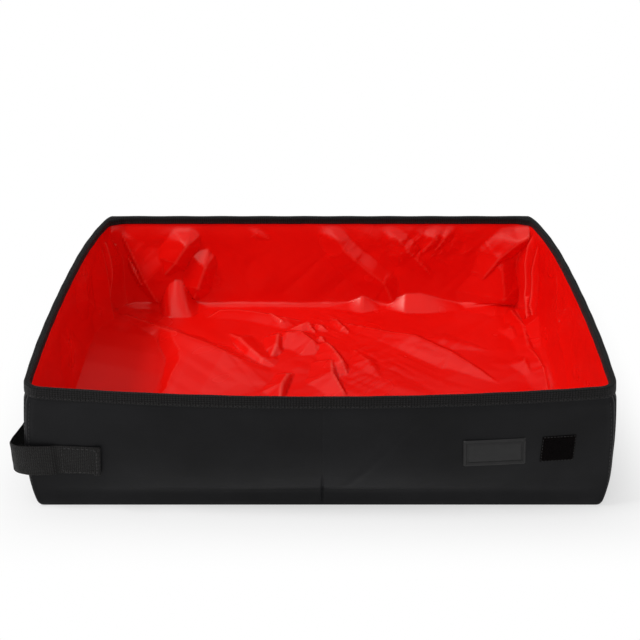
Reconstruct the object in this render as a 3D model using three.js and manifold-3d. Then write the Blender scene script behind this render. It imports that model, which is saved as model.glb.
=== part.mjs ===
// Foldable litter box: a shallow cloth tray whose walls fold in and whose base folds in half.
// Millimetres, +Z up, +X to the right seen from the front, front face towards -Y, underside on z = 0.
import * as THREE from "three";
import { mergeVertices } from "three/addons/utils/BufferGeometryUtils.js";
import Module from "manifold-3d";

const wasm = await Module();
wasm.setup();

// Overall tray
const TRAY_H = 96; // top of the rim tape
const RIM_HALF_X = 200; // rim, half width at the corners
const RIM_HALF_Y = 150; // rim, half depth at the corners
const BOW_FRONT = 13.9; // the front rim bows out this much at its middle
const BOW_END = 5.6; // and each end rim this much
const CREASE_X = 1.5; // the crease that folds the base in half sits just right of the middle

// Cloth, board and tape
const SHELL_T = 1.0; // coated black cloth
const BOARD_T = 2.0; // stiffener board
const LINING_T = 0.8; // red wipeable film cloth
const TAPE_T = 0.8; // rim tape
const LAYER_GAP = 0.3; // air between two layers
const CUT_GAP = 0.3; // air between two pieces of one layer
const HALF_CUT = CUT_GAP / 2;

// Depth of each layer, measured inwards from the outside of the rim tape
const SHELL_OUT = TAPE_T + LAYER_GAP;
const SHELL_IN = SHELL_OUT + SHELL_T;
const BOARD_OUT = SHELL_IN + LAYER_GAP;
const BOARD_IN = BOARD_OUT + BOARD_T;
const LINING_OUT = BOARD_IN + LAYER_GAP;
const LINING_IN = LINING_OUT + LINING_T;
const RIM_LINING_OUT = SHELL_IN + LAYER_GAP; // above the board the lining lies on the shell
const RIM_LINING_IN = RIM_LINING_OUT + LINING_T;
const TAPE_LEG_OUT = RIM_LINING_IN + LAYER_GAP;
const TAPE_LEG_IN = TAPE_LEG_OUT + TAPE_T;

// Heights
const BASE_BOARD_Z = SHELL_T + LAYER_GAP;
const LINING_Z = BASE_BOARD_Z + BOARD_T + LAYER_GAP;
const FLOOR_Z = LINING_Z + LINING_T;
const END_HINGE_Z = 4.9; // end walls turn just above the floor
const LONG_HINGE_Z = 12.5; // front and back walls turn higher, to lie on the folded end walls
const TAPE_Z = TRAY_H - TAPE_T;
const CLOTH_TOP_Z = TAPE_Z - LAYER_GAP;
const TAPE_OUT_DROP = 12.5; // tape seen on the outside
const TAPE_IN_DROP = 6.5; // tape seen on the inside
const TAPER_RISE = 7; // the lining comes up to the shell over this height
const TAPER_BELOW_TAPE = 1.5;
const BOARD_BELOW_TAPER = 1;
const TAPER_TOP_Z = TRAY_H - TAPE_IN_DROP - TAPER_BELOW_TAPE;
const TAPER_FOOT_Z = TAPER_TOP_Z - TAPER_RISE;
const BOARD_TOP_Z = TAPER_FOOT_Z - BOARD_BELOW_TAPER;

// Side profile, one row a height, all as shares: of the height, of the bulge in half width and in half
// depth, and of the full bow of the ends and of the front.
const BULGE = 2.7; // the walls stand this much further out low down than at the rim
const PROFILE_SHARES = [
  [0, -0.7, 0.3, 0, 0],
  [0.046, -0.22, 0.52, 0.05, 0],
  [0.13, 0.52, 0.52, 0.3, 0],
  [0.188, 0.81, 0.56, 0.5, 0.28],
  [0.271, 1, 0.6, 0.72, 0.56],
  [0.396, 1, 0.6, 0.92, 0.85],
  [0.542, 1, 0.6, 1, 1],
  [0.729, 0.81, 0.52, 1, 1],
  [0.844, 0.52, 0.41, 1, 1],
  [0.917, 0.3, 0.22, 1, 1],
  [1, 0, 0, 1, 1],
];
const FOOT_R = 6; // all four corners at the underside
const FRONT_R = 12; // front corners at the rim
const BACK_RX = 10.2; // back corners at the rim, a long ellipse
const BACK_RY = 95;
const LEAST_R = 0.8;

const SEGS = { front: 14, back: 10, end: 8, corner: 5 };

const mix = (a, b, t) => a + (b - a) * t;

// Half width, half depth and the two bow shares at a height, by straight lines between the rows.
function profile(z) {
  const up = Math.max(0, Math.min(1, z / TRAY_H));
  const k = Math.max(
    1,
    PROFILE_SHARES.findIndex((r) => r[0] >= up),
  );
  const [a, b] = [PROFILE_SHARES[k - 1], PROFILE_SHARES[k]];
  const [, x, y, endShare, frontShare] = a.map((v, i) => mix(v, b[i], (up - a[0]) / (b[0] - a[0])));
  return [RIM_HALF_X + BULGE * x, RIM_HALF_Y + BULGE * y, endShare, frontShare];
}

// Where the layers are cut into the folding pieces
const HINGE_X = profile(END_HINGE_Z)[0] - LINING_IN; // inner face of the end walls at their hinge
const HINGE_Y = profile(LONG_HINGE_Z)[1] - LINING_IN; // and of the front and back walls at theirs
const MITRE_CLEAR = 0.8;
const PLAN_Y = HINGE_Y - MITRE_CLEAR; // half length of the end wall at its hinge, below its mitres
const LONG_WALL_CLEAR = 4;
const LONG_WALL_DRAFT = 3;
const PLAN_X = HINGE_X - LONG_WALL_CLEAR; // half width of the front and back walls at their hinge
const PLAN_X_RIM = PLAN_X - LONG_WALL_DRAFT; // and at the rim
const BOARD_INSET = 3; // boards stop this far short of every fold
const REACH = 100; // cutters reach past the tray
const REACH_UP = 14;
const FAR = RIM_HALF_X + REACH;
const ABOVE = TRAY_H + REACH_UP;

// Closed outline at a height, a given depth inside the tape's outside, counterclockwise from above.
function ring(z, depth) {
  const [halfX, halfY, endShare, frontShare] = profile(z);
  const t = Math.min(1, z / TRAY_H);
  const hx = halfX - depth;
  const hy = halfY - depth;
  const front = Math.max(LEAST_R, mix(FOOT_R, FRONT_R, t) - depth);
  const backX = Math.max(LEAST_R, mix(FOOT_R, BACK_RX, t) - depth);
  const backY = Math.max(LEAST_R, mix(FOOT_R, BACK_RY, t * t) - depth);
  const points = [];
  const side = (x0, y0, x1, y1, n) => {
    for (let i = 0; i < n; i++) points.push([mix(x0, x1, i / n), mix(y0, y1, i / n)]);
  };
  const arc = (cx, cy, rx, ry, quarter) => {
    for (let i = 0; i < SEGS.corner; i++) {
      const a = ((quarter + i / SEGS.corner) * Math.PI) / 2;
      points.push([cx + rx * Math.cos(a), cy + ry * Math.sin(a)]);
    }
  };
  side(-hx + front, -hy, hx - front, -hy, SEGS.front);
  arc(hx - front, -hy + front, front, front, 3);
  side(hx, -hy + front, hx, hy - backY, SEGS.end);
  arc(hx - backX, hy - backY, backX, backY, 0);
  side(hx - backX, hy, -hx + backX, hy, SEGS.back);
  arc(-hx + backX, hy - backY, backX, backY, 1);
  side(-hx, hy - backY, -hx, -hy + front, SEGS.end);
  arc(-hx + front, -hy + front, front, front, 2);
  return points.map(([x, y]) => [
    x * (1 + ((BOW_END * endShare) / hx) * (1 - (y / hy) ** 2)),
    y * (1 + ((y < 0 ? BOW_FRONT * frontShare : 0) / hy) * (1 - (x / hx) ** 2)),
  ]);
}

// Outer faces of the walls, for what is sewn on to them.
function frontY(x, z, depth) {
  const [halfX, halfY, , share] = profile(z);
  return -(halfY - depth) - BOW_FRONT * share * (1 - (x / (halfX - depth)) ** 2);
}
function leftX(y, z, depth) {
  const [halfX, halfY, share] = profile(z);
  return -(halfX - depth) - BOW_END * share * (1 - (y / (halfY - depth)) ** 2);
}

// manifold-3d solid from a closed three.js geometry, and back.
function solid(geometry) {
  const bare = new THREE.BufferGeometry();
  bare.setAttribute("position", geometry.getAttribute("position"));
  bare.setIndex(geometry.getIndex());
  const merged = mergeVertices(bare, 1e-4);
  return new wasm.Manifold(
    new wasm.Mesh({
      numProp: 3,
      vertProperties: merged.attributes.position.array,
      triVerts: new Uint32Array(merged.index.array),
    }),
  );
}
function geometryOf(body) {
  const { vertProperties, triVerts } = body.getMesh();
  const g = new THREE.BufferGeometry();
  g.setAttribute("position", new THREE.BufferAttribute(new Float32Array(vertProperties), 3));
  g.setIndex(new THREE.BufferAttribute(new Uint32Array(triVerts), 1));
  const flat = g.toNonIndexed();
  flat.computeVertexNormals();
  return flat;
}

// Solid through stacked outlines, closed by a fan at each end.
function skin(rings) {
  const n = rings[0].length;
  const position = rings.flat(2);
  const index = [];
  rings.slice(1).forEach((_, k) => {
    for (let i = 0; i < n; i++) {
      const [a, b] = [k * n + i, k * n + ((i + 1) % n)];
      index.push(a, b, b + n, a, b + n, a + n);
    }
  });
  const cap = (first, up) => {
    const middle = position.length / 3;
    const r = rings[first / n];
    for (let axis = 0; axis < 3; axis++)
      position.push(r.reduce((sum, p) => sum + p[axis], 0) / n);
    for (let i = 0; i < n; i++) {
      const [a, b] = [first + i, first + ((i + 1) % n)];
      index.push(...(up ? [middle, a, b] : [middle, b, a]));
    }
  };
  cap(0, false);
  cap((rings.length - 1) * n, true);
  const g = new THREE.BufferGeometry();
  g.setAttribute("position", new THREE.Float32BufferAttribute(position, 3));
  g.setIndex(index);
  return solid(g);
}

const LEVELS = PROFILE_SHARES.slice(1, -3)
  .map((r) => r[0] * TRAY_H)
  .concat(TAPER_FOOT_Z, TAPER_TOP_Z);

// Tray-shaped plug between two heights, its depth given as a number or by height.
function plug(depth, z0, z1) {
  const at = typeof depth === "number" ? () => depth : depth;
  const between = LEVELS.filter((z) => z > z0 && z < z1);
  return skin([z0, ...between, z1].map((z) => ring(z, at(z)).map(([x, y]) => [x, y, z])));
}

const taper = (deep, rim) => (z) =>
  mix(deep, rim, Math.max(0, Math.min(1, (z - TAPER_FOOT_Z) / TAPER_RISE)));

// Prism with a polygon in the XZ plane, run along Y, or in the YZ plane, run along X.
function prism(plane, polygon, from, to) {
  const g = new THREE.ExtrudeGeometry(
    new THREE.Shape(polygon.map(([a, b]) => new THREE.Vector2(a, b))),
    { depth: to - from, bevelEnabled: false },
  );
  const basis = new THREE.Matrix4();
  if (plane === "xz")
    basis.makeBasis(
      new THREE.Vector3(1, 0, 0),
      new THREE.Vector3(0, 0, 1),
      new THREE.Vector3(0, -1, 0),
    );
  else
    basis.makeBasis(
      new THREE.Vector3(0, 1, 0),
      new THREE.Vector3(0, 0, 1),
      new THREE.Vector3(1, 0, 0),
    );
  g.applyMatrix4(basis);
  if (plane === "xz") g.translate(0, -from, 0);
  else g.translate(from, 0, 0);
  return solid(g);
}
// Prism run along Y over the side q of the tray, from |y| = near outwards.
const along = (q, polygon, near) =>
  q < 0 ? prism("xz", polygon, near, FAR) : prism("xz", polygon, -FAR, -near);
// Prism run along X over the side s of the tray, from |x| = near outwards.
const across = (s, polygon, near) =>
  s < 0 ? prism("yz", polygon, -FAR, -near) : prism("yz", polygon, near, FAR);

const LEFT = -1;
const RIGHT = 1;
const FRONT = -1;
const BACK = 1;
const sideName = (s) => (s < 0 ? "left" : "right");
const wallName = (q) => (q < 0 ? "front" : "back");

// x of the crease's edge on side s, set back by a distance.
const creaseEdge = (s, back) => CREASE_X + s * back;
const mitre = (z) => PLAN_Y - (z - END_HINGE_Z);

function baseCut(s) {
  const edge = creaseEdge(s, HALF_CUT);
  const low = [
    [edge, -ABOVE],
    [s * FAR, -ABOVE],
    [s * FAR, END_HINGE_Z - HALF_CUT],
    [edge, END_HINGE_Z - HALF_CUT],
  ];
  const curb = [
    [edge, 0],
    [s * PLAN_X, 0],
    [s * PLAN_X, LONG_HINGE_Z - HALF_CUT],
    [edge, LONG_HINGE_Z - HALF_CUT],
  ];
  return prism("xz", low, -FAR, FAR)
    .add(along(FRONT, curb, PLAN_Y))
    .add(along(BACK, curb, PLAN_Y));
}
function longCut(s, q, set) {
  const edge = creaseEdge(s, Math.max(HALF_CUT, set));
  const low = LONG_HINGE_Z + HALF_CUT + set;
  return along(
    q,
    [
      [edge, low],
      [s * (PLAN_X - set), low],
      [s * (PLAN_X_RIM - set), ABOVE],
      [edge, ABOVE],
    ],
    PLAN_Y,
  );
}
function endCut(s, set) {
  const low = END_HINGE_Z + HALF_CUT + set;
  const a = (z) => mitre(z) - HALF_CUT - set * Math.SQRT2;
  return across(
    s,
    [
      [-a(low), low],
      [a(low), low],
      [a(ABOVE), ABOVE],
      [-a(ABOVE), ABOVE],
    ],
    PLAN_X,
  );
}
function cornerCut(s, q) {
  const low = END_HINGE_Z + HALF_CUT;
  const gusset = across(
    s,
    [
      [q * (mitre(low) + HALF_CUT), low],
      [q * FAR, low],
      [q * FAR, ABOVE],
      [q * (mitre(ABOVE) + HALF_CUT), ABOVE],
    ],
    PLAN_X + CUT_GAP + LAYER_GAP,
  );
  const turn = along(
    q,
    [
      [s * (PLAN_X + CUT_GAP), low],
      [s * FAR, low],
      [s * FAR, ABOVE],
      [s * (PLAN_X_RIM + CUT_GAP), ABOVE],
      [s * (PLAN_X + CUT_GAP), LONG_HINGE_Z + HALF_CUT],
    ],
    PLAN_Y + HALF_CUT,
  );
  return gusset.add(turn);
}

const paint = (colour, roughness) =>
  new THREE.MeshStandardMaterial({ color: colour, roughness, metalness: 0 });
const CLOTH = paint("#1f2021", 0.62);
const FILM = paint("#da1310", 0.22);
const BOARD = paint("#8d8778", 0.85);
const TAPE = paint("#272626", 0.8);
const WEBBING = paint("#252423", 0.78);
const LOOP_PILE = paint("#0f0d0e", 0.95);
const RUBBER = paint("#3b3c3e", 0.55);

const tray = new THREE.Group();
tray.name = "foldable_litter_box";
function put(name, body, material) {
  const mesh = new THREE.Mesh(geometryOf(body), material);
  mesh.name = name;
  tray.add(mesh);
}

// Shell, lining and tape as whole skins, then cut where the walls fold.
const shell = plug(SHELL_OUT, 0, CLOTH_TOP_Z).subtract(plug(SHELL_IN, SHELL_T, ABOVE));
const lining = plug(taper(LINING_OUT, RIM_LINING_OUT), LINING_Z, CLOTH_TOP_Z).subtract(
  plug(taper(LINING_IN, RIM_LINING_IN), FLOOR_Z, ABOVE),
);
const boards = plug(BOARD_OUT, 0, BOARD_TOP_Z).subtract(plug(BOARD_IN, -ABOVE, ABOVE));
const tape = plug(0, TRAY_H - TAPE_OUT_DROP, TRAY_H)
  .subtract(plug(TAPE_T, 0, TAPE_Z))
  .add(plug(TAPE_LEG_OUT, TRAY_H - TAPE_IN_DROP, TRAY_H))
  .subtract(plug(TAPE_LEG_IN, 0, ABOVE));

for (const s of [LEFT, RIGHT]) {
  const base = baseCut(s);
  put(`shell_base_${sideName(s)}`, shell.intersect(base), CLOTH);
  put(`lining_base_${sideName(s)}`, lining.intersect(base), FILM);

  const end = endCut(s, 0);
  put(`shell_end_${sideName(s)}`, shell.intersect(end), CLOTH);
  put(`lining_end_${sideName(s)}`, lining.intersect(end), FILM);
  put(`tape_end_${sideName(s)}`, tape.intersect(end), TAPE);
  put(`board_end_${sideName(s)}`, boards.intersect(endCut(s, BOARD_INSET)), BOARD);

  for (const q of [FRONT, BACK]) {
    const at = `${wallName(q)}_${sideName(s)}`;
    const long = longCut(s, q, 0);
    put(`shell_${at}`, shell.intersect(long), CLOTH);
    put(`lining_${at}`, lining.intersect(long), FILM);
    put(`tape_${at}`, tape.intersect(long), TAPE);
    put(`board_${at}`, boards.intersect(longCut(s, q, BOARD_INSET)), BOARD);

    const corner = cornerCut(s, q);
    put(`shell_corner_${at}`, shell.intersect(corner), CLOTH);
    put(`lining_corner_${at}`, lining.intersect(corner), FILM);
    put(`tape_corner_${at}`, tape.intersect(corner), TAPE);
  }
}

// Base boards: one plate for each half, short of the crease and of the walls.
const BASE_BOARD_R = 4;
for (const s of [LEFT, RIGHT]) {
  const [x0, x1] = [creaseEdge(s, BOARD_INSET), s * (HINGE_X - BOARD_INSET)].sort((a, b) => a - b);
  const y1 = HINGE_Y - BOARD_INSET;
  const [cx, cy] = [(x0 + x1) / 2, y1];
  const half = (x1 - x0) / 2;
  const plate = new THREE.Shape();
  plate.moveTo(cx - half + BASE_BOARD_R, -cy);
  plate.lineTo(cx + half - BASE_BOARD_R, -cy);
  plate.quadraticCurveTo(cx + half, -cy, cx + half, -cy + BASE_BOARD_R);
  plate.lineTo(cx + half, cy - BASE_BOARD_R);
  plate.quadraticCurveTo(cx + half, cy, cx + half - BASE_BOARD_R, cy);
  plate.lineTo(cx - half + BASE_BOARD_R, cy);
  plate.quadraticCurveTo(cx - half, cy, cx - half, cy - BASE_BOARD_R);
  plate.lineTo(cx - half, -cy + BASE_BOARD_R);
  plate.quadraticCurveTo(cx - half, -cy, cx - half + BASE_BOARD_R, -cy);
  const g = new THREE.ExtrudeGeometry(plate, {
    depth: BOARD_T,
    bevelEnabled: false,
    curveSegments: 4,
  });
  g.translate(0, 0, BASE_BOARD_Z);
  put(`board_base_${sideName(s)}`, solid(g), BOARD);
}

// Slab that follows a wall: at(u, v, depth) gives a point, u and v run over the two given spans.
function patch(at, [u0, u1], [v0, v1], [outer, inner], nu, nv) {
  const position = [];
  const index = [];
  const row = nu + 1;
  const face = row * (nv + 1);
  for (const depth of [outer, inner])
    for (let j = 0; j <= nv; j++)
      for (let i = 0; i <= nu; i++)
        position.push(...at(mix(u0, u1, i / nu), mix(v0, v1, j / nv), depth));
  const quad = (a, b, c, d) => index.push(a, b, c, a, c, d);
  for (let j = 0; j < nv; j++)
    for (let i = 0; i < nu; i++) {
      const a = j * row + i;
      quad(a, a + 1, a + row + 1, a + row);
      quad(face + a, face + a + row, face + a + row + 1, face + a + 1);
    }
  for (let i = 0; i < nu; i++) {
    const top = nv * row + i;
    quad(i, face + i, face + i + 1, i + 1);
    quad(top, top + 1, face + top + 1, face + top);
  }
  for (let j = 0; j < nv; j++) {
    const [a, b] = [j * row, j * row + nu];
    quad(a, a + row, face + a + row, face + a);
    quad(b, face + b, face + b + row, b + row);
  }
  const g = new THREE.BufferGeometry();
  g.setAttribute("position", new THREE.Float32BufferAttribute(position, 3));
  g.setIndex(index);
  return solid(g);
}
const onFront = (x, z, depth) => [x, frontY(x, z, depth), z];
const onLeft = (back, z, depth) => [leftX(-back, z, depth), -back, z];

// Webbing strap: one end sewn to the front wall, the rest looped round the corner to the end wall.
const STRAP_W = 24;
const STRAP_T = 1.5;
const STRAP_Z = 37.5;
const SEWN_FROM_CORNER = [21.4, 47];
const SEWN_X = SEWN_FROM_CORNER.map((x) => x - RIM_HALF_X);
const WALL_FACE = SHELL_OUT - LAYER_GAP; // wall side of whatever is sewn to the shell
const strapSpan = [STRAP_Z - STRAP_W / 2, STRAP_Z + STRAP_W / 2];
const SEWN_CELLS = [4, 3];
put(
  "strap_sewn_end",
  patch(onFront, SEWN_X, strapSpan, [WALL_FACE - STRAP_T, WALL_FACE], ...SEWN_CELLS),
  WEBBING,
);

// Loop pads, where hook tape grips
const PILE_T = 1.2;
const HOOK_T = 1.0;
const PAD_END_FROM_CORNER = [59, 85];
const PAD_END = PAD_END_FROM_CORNER.map((y) => RIM_HALF_Y - y).reverse(); // in front of the middle
const PAD_FRONT_FROM_CORNER = [24, 47];
const PAD_FRONT = {
  x: PAD_FRONT_FROM_CORNER.map((x) => RIM_HALF_X - x).reverse(),
  z: [37.2, 54.7],
};
const pile = [WALL_FACE - PILE_T, WALL_FACE];
const PAD_CELLS = [3, 3];
put(
  "loop_pad_front_right",
  patch(onFront, PAD_FRONT.x, PAD_FRONT.z, pile, ...PAD_CELLS),
  LOOP_PILE,
);
put(
  "loop_pad_end_left",
  patch(onLeft, PAD_END, strapSpan, pile, ...PAD_CELLS),
  LOOP_PILE,
);

// Middle of the strap's thickness, from its tail on the end wall round to the sewn edge.
const PAD_GAP = 0.55; // air between the hook pad and the loop pad
const TAIL_DEPTH = WALL_FACE - PILE_T - PAD_GAP - HOOK_T - LAYER_GAP - STRAP_T / 2;
const ROOT_DEPTH = WALL_FACE - STRAP_T / 2;
const tailPoint = (back) => [leftX(-back, STRAP_Z, TAIL_DEPTH), -back];
const rootX = SEWN_X[0] - CUT_GAP;
const LOOP_FROM_CORNER = [
  [9, 44],
  [9.6, 29],
  [12.7, 17],
  [14.4, 9],
  [13.9, 3],
  [10.3, -1.6],
  [4, -4.2],
  [-5, -5.2],
]; // outwards and backwards of the rim's left front corner
const loop = new THREE.SplineCurve(
  [
    ...[PAD_END[0], mix(...PAD_END, 1 / 2), PAD_END[1]].map(tailPoint),
    ...LOOP_FROM_CORNER.map(([out, back]) => [-RIM_HALF_X - out, back - RIM_HALF_Y]),
    [rootX, frontY(rootX, STRAP_Z, ROOT_DEPTH)],
  ].map(([x, y]) => new THREE.Vector2(x, y)),
);
const LOOP_CELLS = [36, 3];
const HOOK_CELLS = [6, 3];
const TAIL_EASE = 0.4; // shares of the strap's length over which it leaves the wall's own lean
const ROOT_EASE = 0.25;
function onLoop(u, z, depth) {
  const p = loop.getPointAt(u);
  const way = loop.getTangentAt(u);
  const x = p.x - way.y * depth;
  const y = p.y + way.x * depth;
  const tail = Math.max(0, 1 - u / TAIL_EASE);
  const root = Math.max(0, 1 - (1 - u) / ROOT_EASE);
  return [
    x + tail * (leftX(y, z, TAIL_DEPTH) - leftX(y, STRAP_Z, TAIL_DEPTH)),
    y + root * (frontY(x, z, ROOT_DEPTH) - frontY(x, STRAP_Z, ROOT_DEPTH)),
    z,
  ];
}
put(
  "strap_loop",
  patch(onLoop, [0, 1], strapSpan, [-STRAP_T / 2, STRAP_T / 2], ...LOOP_CELLS),
  WEBBING,
);
const hookEnd = (PAD_END[1] - PAD_END[0]) / loop.getLength();
const hook = [STRAP_T / 2 + LAYER_GAP, STRAP_T / 2 + LAYER_GAP + HOOK_T];
put("strap_hook_pad", patch(onLoop, [0, hookEnd], strapSpan, hook, ...HOOK_CELLS), LOOP_PILE);

// Badge: a soft blank plate in a raised border.
const BADGE_FROM_CORNER = [57.3, 101];
const BADGE = {
  x: BADGE_FROM_CORNER.map((x) => RIM_HALF_X - x).reverse(),
  z: [33, 54],
  border: 2.6,
  plate: 0.7,
  rise: 0.7,
};
const BADGE_CELLS = [6, 4];
const inside = ([a, b]) => [a + BADGE.border, b - BADGE.border];
const badgeFace = WALL_FACE - BADGE.plate - BADGE.rise;
put(
  "badge",
  patch(onFront, BADGE.x, BADGE.z, [badgeFace, WALL_FACE], ...BADGE_CELLS).subtract(
    patch(
      onFront,
      inside(BADGE.x),
      inside(BADGE.z),
      [badgeFace - BADGE.rise, badgeFace + BADGE.rise],
      ...BADGE_CELLS,
    ),
  ),
  RUBBER,
);

export default tray;
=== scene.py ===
"""Dresses the foldable litter box: a cloth tray with a crumpled red lining, on a pale floor."""

import math

import bpy
import numpy as np
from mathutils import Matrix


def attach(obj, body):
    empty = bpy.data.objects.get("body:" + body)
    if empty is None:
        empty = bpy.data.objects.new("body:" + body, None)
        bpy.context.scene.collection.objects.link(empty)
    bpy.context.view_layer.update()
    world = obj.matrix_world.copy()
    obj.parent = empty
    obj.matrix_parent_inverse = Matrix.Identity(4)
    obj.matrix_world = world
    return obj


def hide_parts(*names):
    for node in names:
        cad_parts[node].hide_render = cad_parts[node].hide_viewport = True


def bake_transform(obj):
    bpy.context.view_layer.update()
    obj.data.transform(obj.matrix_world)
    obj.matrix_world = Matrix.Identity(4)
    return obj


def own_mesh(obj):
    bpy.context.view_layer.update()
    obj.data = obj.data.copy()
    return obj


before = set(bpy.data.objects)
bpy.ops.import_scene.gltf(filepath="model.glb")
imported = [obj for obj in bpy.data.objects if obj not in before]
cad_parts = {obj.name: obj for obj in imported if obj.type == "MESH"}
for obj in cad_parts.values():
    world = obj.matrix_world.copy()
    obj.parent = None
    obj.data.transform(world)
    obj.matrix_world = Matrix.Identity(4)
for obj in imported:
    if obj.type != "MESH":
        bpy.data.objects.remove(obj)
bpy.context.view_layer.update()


# The camera
# It stands in front of the tray and looks down on it, as in the photograph. Its place and its lens
# come from a fit to the rim's outline, so it needs no shift. Places here are in mm, and MM makes them
# metres.
MM = 0.001
EYE = (0, -758, 469.4)
LOOK_DOWN = math.radians(27.93)
LENS = 59.93
FILM_BACK = 36

camera_data = bpy.data.cameras.new("camera")
camera_data.lens = LENS
camera_data.sensor_width = FILM_BACK
camera = bpy.data.objects.new("camera", camera_data)
camera.location = [c * MM for c in EYE]
camera.rotation_euler = (math.pi / 2 - LOOK_DOWN, 0, 0)
bpy.context.collection.objects.link(camera)
bpy.context.scene.camera = camera


# The shell's walls and corners
# Black coated cloth over the boards, one panel for each wall and one for each corner, sewn together.
# Each turns in under the tray at its foot. Front and back are pressed into a crease at the middle.
TRAY_H = 96
HALF_X, HALF_Y = 200, 150
BULGE = 2.7
BOW_FRONT, BOW_END = 13.9, 5.6
HEIGHT_SHARES = (0, 0.046, 0.13, 0.188, 0.271, 0.396, 0.542, 0.729, 0.844, 1, 1.1)
BULGE_X_SHARES = (-0.7, -0.22, 0.52, 0.81, 1, 1, 1, 0.81, 0.52, 0, -0.3)
BULGE_Y_SHARES = (0.3, 0.52, 0.52, 0.56, 0.6, 0.6, 0.6, 0.52, 0.41, 0, -0.2)
END_BOW_SHARES = (0, 0.05, 0.3, 0.5, 0.72, 0.92, 1, 1, 1, 1, 1)
FRONT_BOW_SHARES = (0, 0, 0, 0.28, 0.56, 0.85, 1, 1, 1, 1, 1)
FOOT_R, FRONT_R = 6, 12
BACK_RX, BACK_RY = 10.2, 95
LEAST_R = 0.8
CREASE_X = 1.5
END_HINGE_Z, LONG_HINGE_Z = 4.9, 12.5
PLAN_X, PLAN_X_RIM, PLAN_Y = 190.03, 187.03, 145.1
EDGE_GAP = 0.3
BUNCH, BUNCH_DEPTH = 6, 3.2
CLOTH_TOP_Z = 94.2
SHELL_DEPTH, SHELL_T = 1.1, 1.0
FULL_AT = (0, 8, 28, 50, 75, 84, 88.4)
FULL_X = (3, 2.9, 2.6, 2.4, 1.6, 1.3, 0)
FULL_Y = (3, 2.7, 1.8, 1.1, 0.6, 0.7, 0)
TURN_R = 1.0
FLANGE = 8
ROUGH_STEP = 1
NICK, NICK_W, DIP, DIP_W = 1.0, 0.8, 0.45, 13
SEAM_SHARE = {"front_seam": 0.5, "back_seam": 0.86}
WALLS = ("front", "corner_front", "end", "corner_back", "back")


def cubic(t, step, start, start_slope, end, end_slope):
    """Cubic curve between two values with a slope at each, t being the share of the step gone from start."""
    return (
        (2 * t**3 - 3 * t**2 + 1) * start
        + (t**3 - 2 * t**2 + t) * step * start_slope
        + (3 * t**2 - 2 * t**3) * end
        + (t**3 - t**2) * step * end_slope
    )


def smooth_rows(z, shares):
    """Smooth curve through the profile's rows at height z: cubics whose slope at a row is the mean there."""
    at = np.array(HEIGHT_SHARES) * TRAY_H
    value = np.array(shares, float)
    slope = np.gradient(value, at)
    row = np.clip(np.searchsorted(at, z) - 1, 0, len(at) - 2)
    step = at[row + 1] - at[row]
    t = np.clip((z - at[row]) / step, 0, 1)
    return cubic(t, step, value[row], slope[row], value[row + 1], slope[row + 1])


def eased(t):
    """From 0 to 1 with level ends: 3 t squared less 2 t cubed, held outside."""
    t = np.clip(t, 0, 1)
    return t * t * (3 - 2 * t)


def half_sides(z, depth):
    """Half width and half length of the wall at height z, as far inside the rim tape's face as depth."""
    half_x = HALF_X + BULGE * smooth_rows(z, BULGE_X_SHARES) - depth
    half_y = HALF_Y + BULGE * smooth_rows(z, BULGE_Y_SHARES) - depth
    return half_x, half_y


def bowed(x, y, z, half_x, half_y):
    """Plan place moved out by the bows: each side leaves its straight line as a parabola, ends and front."""
    end = BOW_END * smooth_rows(z, END_BOW_SHARES) / half_x * (1 - (y / half_y) ** 2)
    front = BOW_FRONT * smooth_rows(z, FRONT_BOW_SHARES) / half_y * (1 - (x / half_x) ** 2)
    return x * (1 + end), y * (1 + np.where(y < 0, front, 0))


def long_wall_edge(z):
    """Half width of the front and back panels: it narrows a little from their hinge to the rim."""
    share = np.clip((z - LONG_HINGE_Z) / (TRAY_H - LONG_HINGE_Z), 0, 1)
    return PLAN_X + (PLAN_X_RIM - PLAN_X) * share


def end_wall_edge(z):
    """Half length of the end panels: above their hinge it shrinks as fast as the height grows."""
    return PLAN_Y - np.maximum(z - END_HINGE_Z, 0)


def corner_radius(full, rise, depth):
    """Radius of a corner that grows with the rise from the foot's to the full one, less the depth."""
    return np.maximum(FOOT_R + (full - FOOT_R) * rise - depth, LEAST_R)


def closing_in(cells):
    """Places from 0 to 1, closest together at 0: an exponential curve at even steps."""
    return np.expm1(np.linspace(0, 3, cells + 1)) / np.expm1(3)


def even_steps(**cells):
    """Places from 0 to 1 on parts of half the wall's ring, each part cut into its number of even cells."""
    return {part: np.linspace(0, 1, count + 1) for part, count in cells.items()}


def fullness(z):
    """How far the shell's cloth stands out past its board at height z, sideways and to front and back."""
    return np.interp(z, FULL_AT, FULL_X), np.interp(z, FULL_AT, FULL_Y)


def rounded_in(x, y, z, depth):
    """Length y of a place near a back corner, moved forward where it lies deep inside the rim: the bound
    rim bunches up there and its inner line turns wider than its outer line."""
    deep = np.clip((depth - SHELL_DEPTH) / BUNCH_DEPTH, 0, 1) * eased((z - 45) / 45)
    return y - BUNCH * deep * eased((np.abs(x) - 178) / 17) * eased((y - 50) / 70)


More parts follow.
